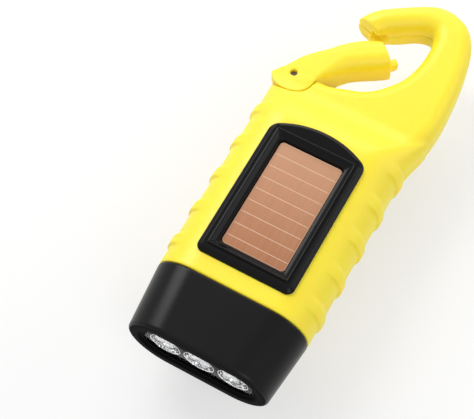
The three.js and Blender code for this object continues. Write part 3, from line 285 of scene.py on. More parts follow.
CASE_SCREWS = {
    "lower_left_screw": (-17.6, -22.6, -7.43), "lower_right_screw": (17.6, -22.6, -7.43),
    "upper_left_screw": (-18.2, 28.4, -8.75), "upper_right_screw": (18.2, 28.4, -8.75),
    "hook_spine_screw": (19.92, 57.27, -6.45), "hook_nose_screw": (4.34, 78.86, -6.45),
}
POST_RADIUS = 2.7
POST_SHORT = 5.0
SCREW_SEAT_RADIUS = 2.02
SCREW_SEAT_DEPTH = 1.7
SCREW_HOLE = 1.12
SCREW_HOLE_END = 4.32
CASE_MESH = 0.45
loop_shares = [
    (-0.413, 0.329), (-0.28, 0.334), (-0.085, 0.363), (0.022, 0.379), (0.158, 0.418),
    (0.272, 0.474), (0.35, 0.522), (0.408, 0.582), (0.446, 0.655), (0.46, 0.725), (0.455, 0.784),
    (0.415, 0.841), (0.325, 0.848), (0.218, 0.829), (0.074, 0.786), (-0.074, 0.742), (-0.2, 0.675),
]
outer_shares = [
    (-0.431, 0.768), (-0.338, 0.818), (-0.229, 0.859), (0.011, 0.93), (0.2, 0.979), (0.34, 1.0),
    (0.47, 1.002), (0.59, 0.988), (0.7, 0.962), (0.795, 0.918), (0.87, 0.857), (0.924, 0.78),
    (0.958, 0.69), (0.982, 0.59), (0.996, 0.49), (1.0, 0.4), (0.985, 0.306),
]
cell_low, cell_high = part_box("solar_cell")
origin = np.array([
    (cell_low.x + cell_high.x) / 2,
    (cell_low.y + cell_high.y) / 2,
    cell_high.z - CELL_TOP / 1000,
])


def add_piece(name, shape, body, stands_for, finish, crease=None):
    """Makes a piece from points in millimetres and faces, and lets it ride on a body."""
    points, faces = shape
    mesh = bpy.data.meshes.new(name)
    mesh.from_pydata((np.asarray(points, float) / 1000 + origin).tolist(), [], faces)
    mesh.polygons.foreach_set("use_smooth", [True] * len(mesh.polygons))
    if crease is not None:
        mesh.set_sharp_from_angle(angle=math.radians(crease))
    mesh.materials.append(finish)
    mesh.validate()
    piece = bpy.data.objects.new(name, mesh)
    bpy.context.collection.objects.link(piece)
    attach(piece, body)
    if stands_for:
        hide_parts(*stands_for)


def skin(outside_by, low, high, step):
    """Closed skin round every place where outside_by(x, y, z) is below zero."""
    axes = [np.arange(a - 2 * step, b + 3 * step, step) for a, b in zip(low, high)]
    grid = np.meshgrid(*axes, indexing="ij", sparse=True)
    field = outside_by(*[side.astype(np.float32) for side in grid])
    field = np.broadcast_to(field, [len(side) for side in axes])
    cubes = np.array(field.shape) - 1
    total = np.zeros((*cubes, 3), np.float32)
    count = np.zeros(cubes, np.int8)
    crossings = []
    for axis in range(3):
        near = np.take(field, range(cubes[axis]), axis)
        far = np.take(field, range(1, cubes[axis] + 1), axis)
        crossed = (near < 0) != (far < 0)
        share = np.where(crossed, near / np.where(crossed, near - far, 1), 0)
        crossings.append((crossed, near < 0))
        one, two = [other for other in range(3) if other != axis]
        for on_one, on_two in ((0, 0), (0, 1), (1, 0), (1, 1)):
            part = [slice(None)] * 3
            part[one] = slice(on_one, on_one + cubes[one])
            part[two] = slice(on_two, on_two + cubes[two])
            here = crossed[tuple(part)]
            count += here
            total[..., axis] += share[tuple(part)]
            total[..., one] += here * on_one
            total[..., two] += here * on_two
    used = count > 0
    number = np.full(cubes, -1)
    number[used] = np.arange(used.sum())
    places = np.argwhere(used) + total[used] / count[used][:, None]
    points = places * step + [side[0] for side in axes]
    faces = []
    for axis, (crossed, inside) in enumerate(crossings):
        one, two = [(1, 2), (2, 0), (0, 1)][axis]
        at = np.argwhere(crossed)
        at = at[(at[:, one] > 0) & (at[:, two] > 0)]
        corners = []
        for back_one, back_two in ((0, 0), (1, 0), (1, 1), (0, 1)):
            cube = at.copy()
            cube[:, one] -= back_one
            cube[:, two] -= back_two
            corners.append(number[tuple(cube.T)])
        quads = np.stack(corners, 1)
        outwards = inside[tuple(at.T)]
        faces.append(np.where(outwards[:, None], quads, quads[:, ::-1]))
    return points, np.concatenate(faces).tolist()


def both(*fields):
    """Inside all of the fields."""
    return np.maximum.reduce(np.broadcast_arrays(*fields))


def either(*fields):
    """Inside any of the fields."""
    return np.minimum.reduce(np.broadcast_arrays(*fields))


def soft_either(first, second, round_off):
    """Inside either field, with the inner corner between them filled by a fillet."""
    share = np.clip(0.5 + 0.5 * (second - first) / round_off, 0, 1)
    return second + (first - second) * share - round_off * share * (1 - share)


def soft_both(first, second, round_off):
    """Inside both fields, with the edge between them rounded off."""
    return -soft_either(-first, -second, round_off)


def cut(body, tool, round_off):
    """The body less the tool, with the edge of the cut rounded off."""
    return soft_both(body, -tool, round_off)


def between(value, low, high):
    return both(low - value, value - high)


def eased(share):
    """A share from 0 to 1 that starts and ends gently."""
    share = np.clip(share, 0, 1)
    return share * share * (3 - 2 * share)


def rounded(first, second, radius):
    """Inside both fields, with the edge between them rounded to a true radius."""
    first, second = first + radius, second + radius
    outer = np.hypot(np.maximum(first, 0), np.maximum(second, 0))
    return outer + np.minimum(np.maximum(first, second), 0) - radius


def oblong(across, along, half_across, half_along, corner):
    """Distance from a rectangle with rounded corners, below zero inside."""
    return rounded(np.abs(across) - half_across, np.abs(along) - half_along, corner)


def stadium(across, along, half_across, half_along):
    """Distance from an oblong whose ends are all but half circles."""
    return oblong(across, along, half_across, half_along, half_along - 0.05)


def rod(x, y, at_x, at_y, radius):
    return np.hypot(x - at_x, y - at_y) - radius


def from_outline(x, y, corners):
    """Distance from a closed outline in x and y, below zero inside."""
    nearest, inside = np.inf, False
    for (ax, ay), (bx, by) in zip(corners, np.roll(corners, -1, axis=0)):
        dx, dy = bx - ax, by - ay
        share = np.clip(((x - ax) * dx + (y - ay) * dy) / max(dx * dx + dy * dy, 1e-9), 0, 1)
        nearest = np.minimum(nearest, np.hypot(x - ax - share * dx, y - ay - share * dy))
        if ay != by:
            spans = (ay > y) != (by > y)
            inside = inside ^ (spans & (x < ax + (y - ay) / dy * dx))
    return np.where(inside, -nearest, nearest).astype(float)


def smooth_line(points, steps=10):
    """The curve that runs smoothly through all the points."""
    points = np.asarray(points, float)
    line = []
    for place in range(len(points) - 1):
        before = points[max(place - 1, 0)]
        start, end = points[place], points[place + 1]
        after = points[min(place + 2, len(points) - 1)]
        for t in np.arange(steps) / steps:
            square = (2 * before - 5 * start + 4 * end - after) * t**2
            cube = (3 * start - before - 3 * end + after) * t**3
            line.append(0.5 * (2 * start + (end - before) * t + square + cube))
    return [*line, points[-1]]


def hook_points(shares):
    return [(across * HOOK_SPAN, SHOULDER + up * HOOK_REACH) for across, up in shares]


hook_outline = np.array([
    (-21.7, 46.41),
    *smooth_line(hook_points(loop_shares)),
    *hook_points([(-0.42, 0.564), (-0.66, 0.668)]),
    *smooth_line(hook_points(outer_shares)),
    *hook_points([(0.93, 0.218), (0.81, 0.13), (0.5, 0.1)]),
    (-21.7, 32.0),
])
gate_end = GATE_LENGTH * np.array([(0.603, 0.777), (0.815, 0.582)])
end_width = float(np.hypot(*(gate_end[1] - gate_end[0])))
nub_start = NUB_PLACE * end_width - NUB_WIDTH / 2


def shoulder_share(y):
    return eased((y - SHOULDER) / SHOULDER_LENGTH)


def half_depth_at(y):
    return HALF_DEPTH + (HOOK_HALF_DEPTH - HALF_DEPTH) * shoulder_share(y)


def at_gate_end(x, y, turned_by):
    """Places along and out of the gate's end, for the gate turned about its pin."""
    ahead = (gate_end[1] - gate_end[0]) / end_width
    angle = math.atan2(ahead[1], ahead[0]) + turned_by
    corner = gate_end[0]
    corner_x = PIN[0] + corner[0] * math.cos(turned_by) - corner[1] * math.sin(turned_by)
    corner_y = PIN[1] + corner[0] * math.sin(turned_by) + corner[1] * math.cos(turned_by)
    along = (x - corner_x) * math.cos(angle) + (y - corner_y) * math.sin(angle)
    out = (y - corner_y) * math.cos(angle) - (x - corner_x) * math.sin(angle)
    return along, out


def rib_height(y, z):
    """How far the ribs stand out of the flanks; they fade where the front and back begin."""
    proud = 0
    for middle in RIB_HEIGHTS:
        lower = np.clip((y - middle + RIB_HALF_LENGTH) / RIB_STEEP, 0, 1)
        upper = np.clip((middle + RIB_HALF_LENGTH - y) / RIB_SLOW, 0, 1)
        proud = proud + RIB_PROUD * lower * upper * (2 - upper)
    return proud * eased((RIB_FADE_END - np.abs(z)) / RIB_FADE_LENGTH)


def solid_case(x, y, z, depth, edge):
    """Grip, ribs and hook as one solid, less the rooms that the gate swings and shuts in."""
    flare = SHOULDER_FLARE * shoulder_share(y)
    grip = both(-x - HALF_WIDTH, x - HALF_WIDTH - flare, y - SHOULDER - SHOULDER_LENGTH)
    hook = from_outline(x, y, hook_outline)
    body = rounded(soft_either(grip, hook, SHOULDER_FILLET), np.abs(z) - depth, edge)
    body = body - rib_height(y, z)
    along, out = at_gate_end(x, y, GATE_TURN)
    nose_gap = both(
        between(along, -NOSE_ROOM, end_width + NOSE_SIDE_GAP), between(out, -NOSE_ROOM, NOSE_GAP),
    )
    nub_room = both(
        between(along, nub_start - GATE_GAP, 2 * end_width),
        between(out, 0, NUB_LENGTH + NUB_END_GAP),
        np.abs(z) - NUB_HALF_DEPTH - GATE_GAP,
    )
    body = cut(cut(body, nose_gap, 0.5), nub_room, 0.3)
    root_room = rod(x, y, *PIN, ROOT_RADIUS + ROOT_GAP)
    body = cut(body, either(root_room, from_outline(x, y, PIN + GATE_ROOM)), 0.15)
    return soft_both(body, HEAD_JOINT - y, 0.4)


def gate_lug(x, y, z):
    """The lug between the gate's cheeks, with its spring pocket and pin hole."""
    web = from_outline(x, y, PIN + np.array([
        (-LUG_RADIUS, 0), (-LUG_RADIUS, -LUG_FOOT), (LUG_RADIUS + 2, -LUG_FOOT), (LUG_RADIUS, 0),
    ]))
    from_pin = rod(x, y, *PIN, 0)
    lug = both(either(web, from_pin - LUG_RADIUS), np.abs(z) - LUG_HALF_DEPTH)
    mouth = both(np.abs(x - PIN[0]) - SPRING_ROOM, between(y - PIN[1], 0, SPRING_MOUTH))
    pocket = both(either(from_pin - SPRING_ROOM, mouth), np.abs(z) - SPRING_HALF_ROOM)
    return both(lug, -pocket, PIN_HOLE - from_pin)


def whole_case(x, y, z):
    """Both halves in one: hollow, with posts, a neck for the head and holes for the screws."""
    along, out = at_gate_end(x, y, GATE_TURN)
    nose = np.clip(1 - out / NOSE_TAPER, 0, 1) * (out > 0) * (np.abs(along) < NOSE_REACH)
    share = shoulder_share(y)
    depth = half_depth_at(y) - NOSE_THINNER * nose * nose
    edge = CORNER + (np.where(z > 0, HOOK_ROUND, HOOK_BACK_ROUND) - CORNER) * share
    room = oblong(x, z, HALF_WIDTH - WALL, depth - WALL, edge - WALL * (1 - share))
    room = both(room, between(y, HEAD_JOINT + WALL, CAVITY_TOP))
    body = either(both(solid_case(x, y, z, depth, edge), -room), gate_lug(x, y, z))
    for at_x, at_y, _ in list(CASE_SCREWS.values())[:4]:
        post = both(rod(x, y, at_x, at_y, POST_RADIUS), np.abs(z) - HALF_DEPTH + POST_SHORT)
        body = either(body, both(post, room))
    neck = stadium(x, z, NECK_HALF_WIDTH, NECK_HALF_DEPTH)
    neck = both(neck, between(y, HEAD_JOINT - NECK_LENGTH, HEAD_JOINT + WALL))
    throat = stadium(x, z, NECK_HALF_WIDTH - NECK_WALL, NECK_HALF_DEPTH - NECK_WALL)
    body = both(either(body, neck), -both(throat, between(y, *THROAT)))
    for at_x, at_y, face in CASE_SCREWS.values():
        seat = both(rod(x, y, at_x, at_y, SCREW_SEAT_RADIUS), z - face - SCREW_SEAT_DEPTH)
        shank = both(rod(x, y, at_x, at_y, SCREW_HOLE), z - SCREW_HOLE_END)
        body = cut(body, either(seat, shank), 0.25)
    return body


def front_half(x, y, z):
    pocket = both(oblong(x, y, *CELL_POCKET), POCKET_FLOOR - z)
    return soft_both(both(whole_case(x, y, z), -pocket), SEAM - z, SEAM_ROUND)


def back_half(x, y, z):
    body = whole_case(x, y, z)
    for at_x, at_y in GEAR_POSTS:
        post = rod(x, y, at_x, at_y, GEAR_POST_RADIUS)
        high = between(z, CAVITY_FLOOR - GEAR_POST_ROOT, GEAR_POST_END)
        body = either(body, both(post, high))
    for side in CRADLES:
        cradle = both(
            np.abs(x - side) - CRADLE_HALF_WIDTH, np.abs(y - BATTERY_Y) - CRADLE_HALF_LENGTH,
            between(z, CAVITY_FLOOR - CRADLE_ROOT, 0), -rod(y, z, BATTERY_Y, 0, BATTERY_ROOM),
        )
        body = either(body, cradle)
    holes = either(rod(x, y, *CRANK_AT, BUSH_HOLE), rod(x, y, *BUTTON_AT, BUTTON_HOLE))
    body = cut(body, both(holes, z - HOLES_ROOF), 0.4)
    return soft_both(body, z + SEAM, SEAM_ROUND)


def object_place(paint):
    return paint.node("ShaderNodeTexCoord", output="Object")


def mottle(paint, size, detail=3.0, stretch=(1, 1, 1)):
    """Soft random pattern from 0 to 1 with blots of about that size in millimetres."""
    scaled = paint.node(
        "ShaderNodeMapping", {}, {"Vector": object_place(paint), "Scale": stretch},
    )
    sockets = {"Vector": scaled, "Scale": 1000.0 / size, "Detail": detail}
    return paint.node("ShaderNodeTexNoise", {}, sockets)


def worn_edge(paint, width):
    """1 along outer edges, over a width in millimetres."""
    rounded = paint.node("ShaderNodeBevel", {"samples": 6}, {"Radius": width / 1000})
    flat = paint.node("ShaderNodeNewGeometry", output="Normal")
    alike = paint.node(
        "ShaderNodeVectorMath", {"operation": "DOT_PRODUCT"}, {0: rounded, 1: flat}, "Value",
    )
    return paint.clamp((1 - alike) * 9.0)


def begin_finish(name, constants):
    """A new material and its paint, with what is the same all over set on its shader."""
    material = bpy.data.materials.new(name)
    material.use_nodes = True
    paint = Paint(material.node_tree)
    for socket, value in constants.items():
        paint.shader.inputs[socket].default_value = value
    return material, paint


def lay_on(paint, colour, dull, relief, deep, strength=0.3):
    """Feeds a finish's colour and dullness, and a relief of so many millimetres."""
    bump = {"Strength": strength, "Distance": deep / 1000, "Height": relief}
    paint.feed(paint.shader.inputs["Base Color"], colour)
    paint.feed(paint.shader.inputs["Roughness"], dull)
    paint.feed(paint.shader.inputs["Normal"], paint.node("ShaderNodeBump", {}, bump))


def shade_of(colour, share):
    return tuple(share * part for part in colour[:3]) + (1,)


def moulded(name, colour, rubbed, dull, grain, deep, constants=None):
    """Moulded plastic: eroded mould texture, faint flow clouds, and edges rubbed smooth."""
    material, paint = begin_finish(name, constants or {})
    clouds = mottle(paint, 14.0)
    edge = worn_edge(paint, 0.5) * (mottle(paint, 2.5) * 1.3 - 0.15)
    base = paint.mix(clouds, shade_of(colour, 0.93), colour)
    worn = paint.mix(edge * 0.5, base, rubbed)
    roughness = dull - 0.06 + clouds * 0.12 - edge * 0.1
    lay_on(paint, worn, roughness, mottle(paint, grain, 4.0), deep, 0.35)
    return material


satin_yellow = moulded(
    "satin_yellow", (1.0, 0.80, 0.03, 1), (1.0, 0.87, 0.12, 1), 0.42, 0.32, 0.012,
    {"Subsurface Weight": 0.5, "Subsurface Radius": (1.0, 0.3, 0.02), "Subsurface Scale": 0.0012,
     "Specular IOR Level": 0.5},
)
for name, node, half, low_z, high_z in (
    ("front_case", "front_shell", front_half, 0, HALF_DEPTH),
    ("back_case", "back_shell", back_half, -HALF_DEPTH, 0),
):
    shape = skin(half, (-25, HEAD_JOINT - NECK_LENGTH, low_z), (28, 87.1, high_z), CASE_MESH)
    add_piece(name, shape, "case", [node], satin_yellow)

# Gate: one arm, moulded in the same yellow plastic, with two cheeks that straddle the case's lug.
# It swings on the pin, and a nub on its square end drops into a slot in the nose of the hook.
CHEEK_INSIDE = 2.55
LUG_ROOM = 8.7
ROOT_EDGE = 0.5
ARM_ROUNDS_FROM = 5.0
ARM_ROUNDS_OVER = 12.0
GATE_MESH = 0.35
gate_outer = GATE_LENGTH * np.array([
    (-0.142, -0.012), (-0.024, 0.202), (0.103, 0.392), (0.235, 0.567), (0.396, 0.708),
    (0.567, 0.8), (0.767, 0.893),
])
gate_inner = GATE_LENGTH * np.array([
    (0.913, 0.648), (0.712, 0.499), (0.479, 0.344), (0.27, 0.117), (0.153, -0.1),
])
root_angles = np.linspace(math.atan2(-0.087, -0.203), math.atan2(0.04, 0.22), 40)
root_outline = np.array([
    *[(ROOT_RADIUS * math.cos(angle), ROOT_RADIUS * math.sin(angle)) for angle in root_angles],
    (-0.14 * GATE_LENGTH, 0.01 * GATE_LENGTH),
])
arm_outline = np.array([
    gate_outer[0], *smooth_line(gate_outer[1:-1]), gate_outer[-1],
    gate_inner[0], *smooth_line(gate_inner[1:-1]), gate_inner[-1],
])


def gate_shape(x, y, z):
    depth = half_depth_at(y)
    from_pin = rod(x, y, *PIN, 0)
    rounder = eased((from_pin - ARM_ROUNDS_FROM) / ARM_ROUNDS_OVER)
    edge = ROOT_EDGE + (HOOK_ROUND - ROOT_EDGE) * rounder
    arm = rounded(from_outline(x, y, PIN + arm_outline), np.abs(z) - depth, edge)
    root = rounded(from_outline(x, y, PIN + root_outline), np.abs(z) - depth, 0.2)
    body = soft_either(arm, root, 0.4)
    under = both(np.abs(x - PIN[0]) - LUG_ROOM, between(y - PIN[1], -LUG_ROOM, 0))
    lug_room = both(either(under, from_pin - LUG_RADIUS - GATE_GAP), np.abs(z) - CHEEK_INSIDE)
    body = cut(body, lug_room, 0.25)
    body = soft_both(body, PIN_HOLE + 0.01 - from_pin, 0.25)
    along, out = at_gate_end(x, y, 0)
    body = soft_both(body, out, 0.4)
    nub = both(
        between(along, nub_start, nub_start + NUB_WIDTH), between(out, -NUB_LENGTH, NUB_LENGTH),
    )
    return either(body, soft_both(nub, np.abs(z) - NUB_HALF_DEPTH, 0.3))


shape = skin(gate_shape, (-27, 35, -10), (10, 73, 10), GATE_MESH)
add_piece("spring_gate", shape, "gate", ["gate"], satin_yellow)

# Gate pin and spring: a plain steel pin, pressed through both cheeks with its ends peened over,
# and a wound wire spring round it that pushes the gate shut.
PIN_SIDES = 40
peened_end = [(0.35, 5.3), (0.8, 5.28), (1.0, 5.1), (1.05, 4.8)]


def ring_faces(rows, count, closed=False):
    """Faces between rows of equal count, with capped ends unless the rows close on themselves."""
    faces = []
    for row in range(rows if closed else rows - 1):
        here, above = row * count, (row + 1) % rows * count
        for step in range(count):
            after = (step + 1) % count
            faces.append((here + step, here + after, above + after, above + step))
    if not closed:
        faces.append(tuple(reversed(range(count))))
        faces.append(tuple(range((rows - 1) * count, rows * count)))
    return faces


def lofted(rings, closed=False):
    """The shape that runs through rings of equal count."""
    points = [point for ring in rings for point in ring]
    return points, ring_faces(len(rings), len(rings[0]), closed)


def turned(profile, sides, axis, at, closed=False):
    """A piece turned about the Y or Z axis. The profile gives radius and place along it."""
    angles = np.linspace(0, 2 * math.pi, sides, endpoint=False)
    rings = []
    for radius, place in profile:
        one, two, along = radius * np.cos(angles), radius * np.sin(angles), 0 * angles + place
        ring = (two, along, one) if axis == "Y" else (one, two, along)
        rings.append(np.transpose(ring) + at)
    return lofted(rings, closed)


def metal(name, colour, dull, scratch_size, stretch, constants=None):
    """Bare metal: fine drawn or turned scratches, dull patches and brighter worn edges."""
    material, paint = begin_finish(name, {"Metallic": 1.0, **(constants or {})})
    scratch = mottle(paint, scratch_size, 5.0, stretch)
    patch = mottle(paint, 3.0)
    base = paint.mix(patch * 0.6 + scratch * 0.4, shade_of(colour, 0.72), colour)
    worn = paint.mix(worn_edge(paint, 0.3) * 0.6, base, (0.95, 0.95, 0.94, 1))
    lay_on(paint, worn, dull - 0.08 + patch * 0.1 + scratch * 0.1, scratch, 0.01)
    return material


def dress(finish, *nodes):
    """Gives solids of the frame, whose shape is right, their finish."""
    for node in nodes:
        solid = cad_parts[node]
        solid.data.materials.clear()
        solid.data.materials.append(finish)


bright_steel = metal("bright_steel", (0.52, 0.53, 0.55, 1), 0.34, 0.25, (1, 1, 0.15))
dark_steel = metal("dark_steel", (0.10, 0.085, 0.07, 1), 0.36, 0.3, (1, 1, 1))
profile = [(radius, -place) for radius, place in peened_end] + peened_end[::-1]
shape = turned(profile, PIN_SIDES, "Z", (*PIN, 0))
add_piece("hinge_pin", shape, "gate", ["gate_pin"], dark_steel, 35)
dress(bright_steel, "gate_spring")

# Solar panel: a copper brown cell under clear laminate on a foam pad, framed by a gloss black
# bezel whose upper side is arched. The frame snaps into the front half of the case.
CELL_HALF_WIDTH = 9.9
CELL_HALF_LENGTH = 17.95
LINE_PITCH = 4.1
FIRST_LINE = -15.0
LINE_HALF_WIDTH = 0.085
LINE_HALF_LENGTH = 9.55
BARE_END = 17.6
PAINTED_SHADE_LENGTH = 36.0
CELL_CORNER = 1.2
CORNER_LOSS = 0.35
LEAST_CORNER = 0.42
FRAME_HALF_WIDTH = 15.2
FRAME_FOOT = -23.5
FRAME_TOP = 26.1
FRAME_SHOULDER = 21.6
FRAME_CORNER = 2.3
FRAME_UPPER_CORNER = 3.8
CORNER_POINTS = 26
SIDE_POINTS = 14
# Each ring of the frame: its inset from the outer edge, or its offset from the cell, and its
# height above the front of the case.
frame_outside = [
    (0, 0.06), (0, 0.22), (0.07, 0.36), (0.2, 0.5), (0.26, 0.545), (1.24, 1.3), (1.3, 1.335),
    (1.38, 1.357), (1.46, 1.36),
]
frame_inside = [
    (3.72, 1.34), (2.92, 1.29), (2.86, 1.3), (2.82, 1.35), (2.74, 1.66), (2.68, 1.74),
    (2.58, 1.785), (2.44, 1.8), (2.3, 1.785), (2.2, 1.74), (2.12, 1.67), (1.16, 0.9), (1.1, 0.86),
    (1.02, 0.84), (0.6, 0.8), (0.5, 0.76), (0.42, 0.66), (0.34, 0.4), (0.2, -0.35), (0.1, -0.35),
    (0.1, -0.4), (0.26, -0.4), (0.26, 0.06),
]


def place_along(paint, axis):
    """Millimetres along one axis, from the middle of the solar cell."""
    place = paint.node("ShaderNodeSeparateXYZ", {}, {"Vector": object_place(paint)}, axis)
    return place * 1000 - float(origin["XYZ".index(axis)] * 1000)


laminate, paint = begin_finish("solar_laminate", {
    "Coat Roughness": 0.06, "Coat Weight": 0.6, "Metallic": 0.15, "Specular IOR Level": 0.4,
})
x, y = [place_along(paint, axis) for axis in "XY"]
from_line = abs((y - FIRST_LINE + LINE_PITCH / 2) % LINE_PITCH - LINE_PITCH / 2)
on_line = (from_line < LINE_HALF_WIDTH) * (abs(x) < LINE_HALF_LENGTH)
edge_band = (abs(x) > LINE_HALF_LENGTH) + (abs(y) > BARE_END)
grain = mottle(paint, 0.8, 4.0, (1, 0.08, 1))
# Painted light and shade: the copper is lighter at the cell's upper end, darker at its lower end.
height = paint.clamp(y * (1 / PAINTED_SHADE_LENGTH) + 0.5)
copper = paint.mix(height, (0.31, 0.095, 0.024, 1), (0.48, 0.232, 0.118, 1))
copper = paint.mix(grain * 0.3 + mottle(paint, 6.0) * 0.1, copper, (0.52, 0.275, 0.14, 1))
copper = paint.mix(on_line, copper, (0.70, 0.49, 0.34, 1))
copper = paint.mix(edge_band * 0.35, copper, (0.58, 0.36, 0.23, 1))
lay_on(paint, copper, 0.28 + grain * 0.14 - on_line * 0.1, grain * 0.4 + on_line, 0.02)
dress(laminate, "solar_cell")
foam = moulded("black_foam", (0.016, 0.016, 0.017, 1), (0.03, 0.03, 0.03, 1), 0.85, 0.5, 0.05)
dress(foam, "solar_pad")


def arc(x, y, radius, start, turn, count=CORNER_POINTS):
    angles = [start + turn * step / (count - 1) for step in range(count)]
    return [(x + radius * math.cos(angle), y + radius * math.sin(angle)) for angle in angles]


def joined(corners, height, arch=None):
    """A ring of four rounded corners, with points along its sides so that every ring matches."""
    ring = []
    for quarter, corner in enumerate(corners):
        start, end = np.array(corner[-1]), np.array(corners[(quarter + 1) % 4][0])
        shares = [step / (SIDE_POINTS + 1) for step in range(1, SIDE_POINTS + 1)]
        side = [tuple(start + (end - start) * share) for share in shares]
        ring += corner + (arch if arch and quarter == 1 else side)
    return [(x, y, height) for x, y in ring]


def window_ring(offset, height):
    """A ring round the window at an offset from the cell."""
    corner = max(CELL_CORNER - CORNER_LOSS * offset, LEAST_CORNER)
    across, up = CELL_HALF_WIDTH + offset - corner, CELL_HALF_LENGTH + offset - corner
    return joined([
        arc(across * side, up * end, corner, (quarter - 1) * math.pi / 2, math.pi / 2)
        for quarter, (side, end) in enumerate(((1, -1), (1, 1), (-1, 1), (-1, -1)))
    ], height)


def arch_ring(inset, height):
    """A ring on the frame's outer edge: straight sides and foot, and a shallow arch on top."""
    side, foot = FRAME_HALF_WIDTH - inset, FRAME_FOOT + inset
    corner, upper = FRAME_CORNER - inset, FRAME_UPPER_CORNER - inset
    rise = FRAME_TOP - FRAME_SHOULDER
    radius = (FRAME_HALF_WIDTH**2 + rise**2) / (2 * rise) - inset
    centre = FRAME_TOP - inset - radius
    reach = math.asin((side - upper) / (radius - upper))
    shoulder = centre + (radius - upper) * math.cos(reach)
    square = math.pi / 2
    arch = arc(0, centre, radius, square - reach, 2 * reach, SIDE_POINTS + 2)[1:-1]
    return joined([
        arc(side - corner, foot + corner, corner, -square, square),
        arc(side - upper, shoulder, upper, 0, square - reach),
        arc(upper - side, shoulder, upper, square + reach, square - reach),
        arc(corner - side, foot + corner, corner, 2 * square, square),
    ], height, arch)


gloss_black = moulded(
    "gloss_black", (0.0014, 0.0014, 0.0018, 1), (0.007, 0.007, 0.008, 1), 0.17, 1.6, 0.004,
    {"Specular IOR Level": 0.14},
)
rings = [arch_ring(inset, HALF_DEPTH + height) for inset, height in frame_outside]
rings += [window_ring(offset, HALF_DEPTH + height) for offset, height in frame_inside]
shape = lofted(rings, closed=True)
add_piece("panel_frame", shape, "case", ["solar_bezel"], gloss_black, 28)

# Head: a tapered cap of black plastic that slides over the neck of the case. Its sides are satin;
# its end, with a shallow lip round the long window, is duller from an eroded mould.
HEAD_LENGTH = 20.4
HEAD_END = HEAD_JOINT - HEAD_LENGTH
HEAD_TAPER = 1.9
HEAD_TAPER_DEPTH = 0.5
HEAD_CORNER = 11.9
HEAD_WALL = 1.8
HEAD_GAP = 0.15
RIM_ROUND = 0.95
FACE_WALL = 1.35
WINDOW_HALF_WIDTH = 17.3
WINDOW_HALF_HEIGHT = 6.4
LIP_WIDTH = 1.4
LIP_DEPTH = 0.7
END_FACE_RADIUS = 11.7
HEAD_MESH = 0.36
BLACK = (0.0022, 0.0022, 0.0025, 1)
RUBBED_BLACK = (0.009, 0.009, 0.01, 1)
satin_black = moulded(
    "satin_black", BLACK, RUBBED_BLACK, 0.31, 0.3, 0.012, {"Specular IOR Level": 0.1},
)
head_black = moulded(
    "head_black", BLACK, RUBBED_BLACK, 0.29, 0.3, 0.012, {"Specular IOR Level": 0.16},
)
paint = Paint(head_black.node_tree)
across, up = [place_along(paint, axis) for axis in "XZ"]
past = paint.math("MAXIMUM", abs(across) - (HALF_WIDTH - HEAD_TAPER - HEAD_CORNER))
from_middle = paint.math("SQRT", past * past + up * up)
end_face = paint.clamp((END_FACE_RADIUS - from_middle) * 2.0)
eroded = paint.node("ShaderNodeBsdfPrincipled", {}, {
    "Base Color": (0.004, 0.004, 0.0045, 1), "Roughness": 0.55, "Specular IOR Level": 0.012,
})
paint.show(end_face, Wire(paint, paint.shader.outputs["BSDF"]), eroded)


def cap_shape(x, y, z):
    share = (HEAD_JOINT - y) / HEAD_LENGTH
    half_x = HALF_WIDTH - HEAD_TAPER * share
    half_z = HALF_DEPTH - HEAD_TAPER_DEPTH * share
    body = rounded(oblong(x, z, half_x, half_z, HEAD_CORNER), HEAD_END - y, RIM_ROUND)
    body = soft_both(body, y - HEAD_JOINT + HEAD_GAP, 0.4)
    inside = oblong(x, z, half_x - HEAD_WALL, half_z - HEAD_WALL, HEAD_CORNER - HEAD_WALL)
    body = both(body, -both(inside, HEAD_END + FACE_WALL - y))
    lip = stadium(x, z, WINDOW_HALF_WIDTH + LIP_WIDTH, WINDOW_HALF_HEIGHT + LIP_WIDTH)
    body = cut(body, both(lip, y - HEAD_END - LIP_DEPTH), 0.3)
    return cut(body, stadium(x, z, WINDOW_HALF_WIDTH, WINDOW_HALF_HEIGHT), 0.3)


low, high = (-24.2, HEAD_END, -HALF_DEPTH), (24.2, HEAD_JOINT, HALF_DEPTH)
shape = skin(cap_shape, low, high, HEAD_MESH)
add_piece("end_cap", shape, "case", ["head_cap"], head_black)

# Window and its seal: a dish of clear polished plastic that fills the opening of the cap, with its
# flange against the cap's inside and a rubber ring behind the flange.
HALF_RING_POINTS = 28
# Each ring of the window: how much wider it is than the opening, and its depth behind the end.
window_profile = [
    (-0.25, 0.78), (-0.12, 0.82), (-0.08, 0.9), (-0.08, 1.42), (1.1, 1.42), (1.1, 2.4),
    (-0.15, 2.4), (-0.15, 1.42), (-0.3, 1.38),
]


def long_ring(wider, depth):
    """A ring on the window's long outline, at a depth behind the end of the cap."""
    half_up = WINDOW_HALF_HEIGHT + wider
    ring = []
    for side in (1, -1):
        for angle in np.linspace(math.pi / 2, -math.pi / 2, HALF_RING_POINTS):
            x = side * (WINDOW_HALF_WIDTH - WINDOW_HALF_HEIGHT + half_up * math.cos(angle))
            ring.append((x, HEAD_END + depth, side * half_up * math.sin(angle)))
    return ring


clear, paint = begin_finish("clear_plastic", {
    "Transmission Weight": 1.0, "IOR": 1.07, "Base Color": WHITE,
})
paint.feed(paint.shader.inputs["Roughness"], mottle(paint, 2.0) * 0.015)
shape = lofted([long_ring(wider, depth) for wider, depth in window_profile])
add_piece("window_lens", shape, "case", ["lens"], clear, 30)
rubber = moulded("black_rubber", (0.014, 0.014, 0.014, 1), (0.03, 0.03, 0.03, 1), 0.75, 0.4, 0.02)
dress(rubber, "lens_gasket")
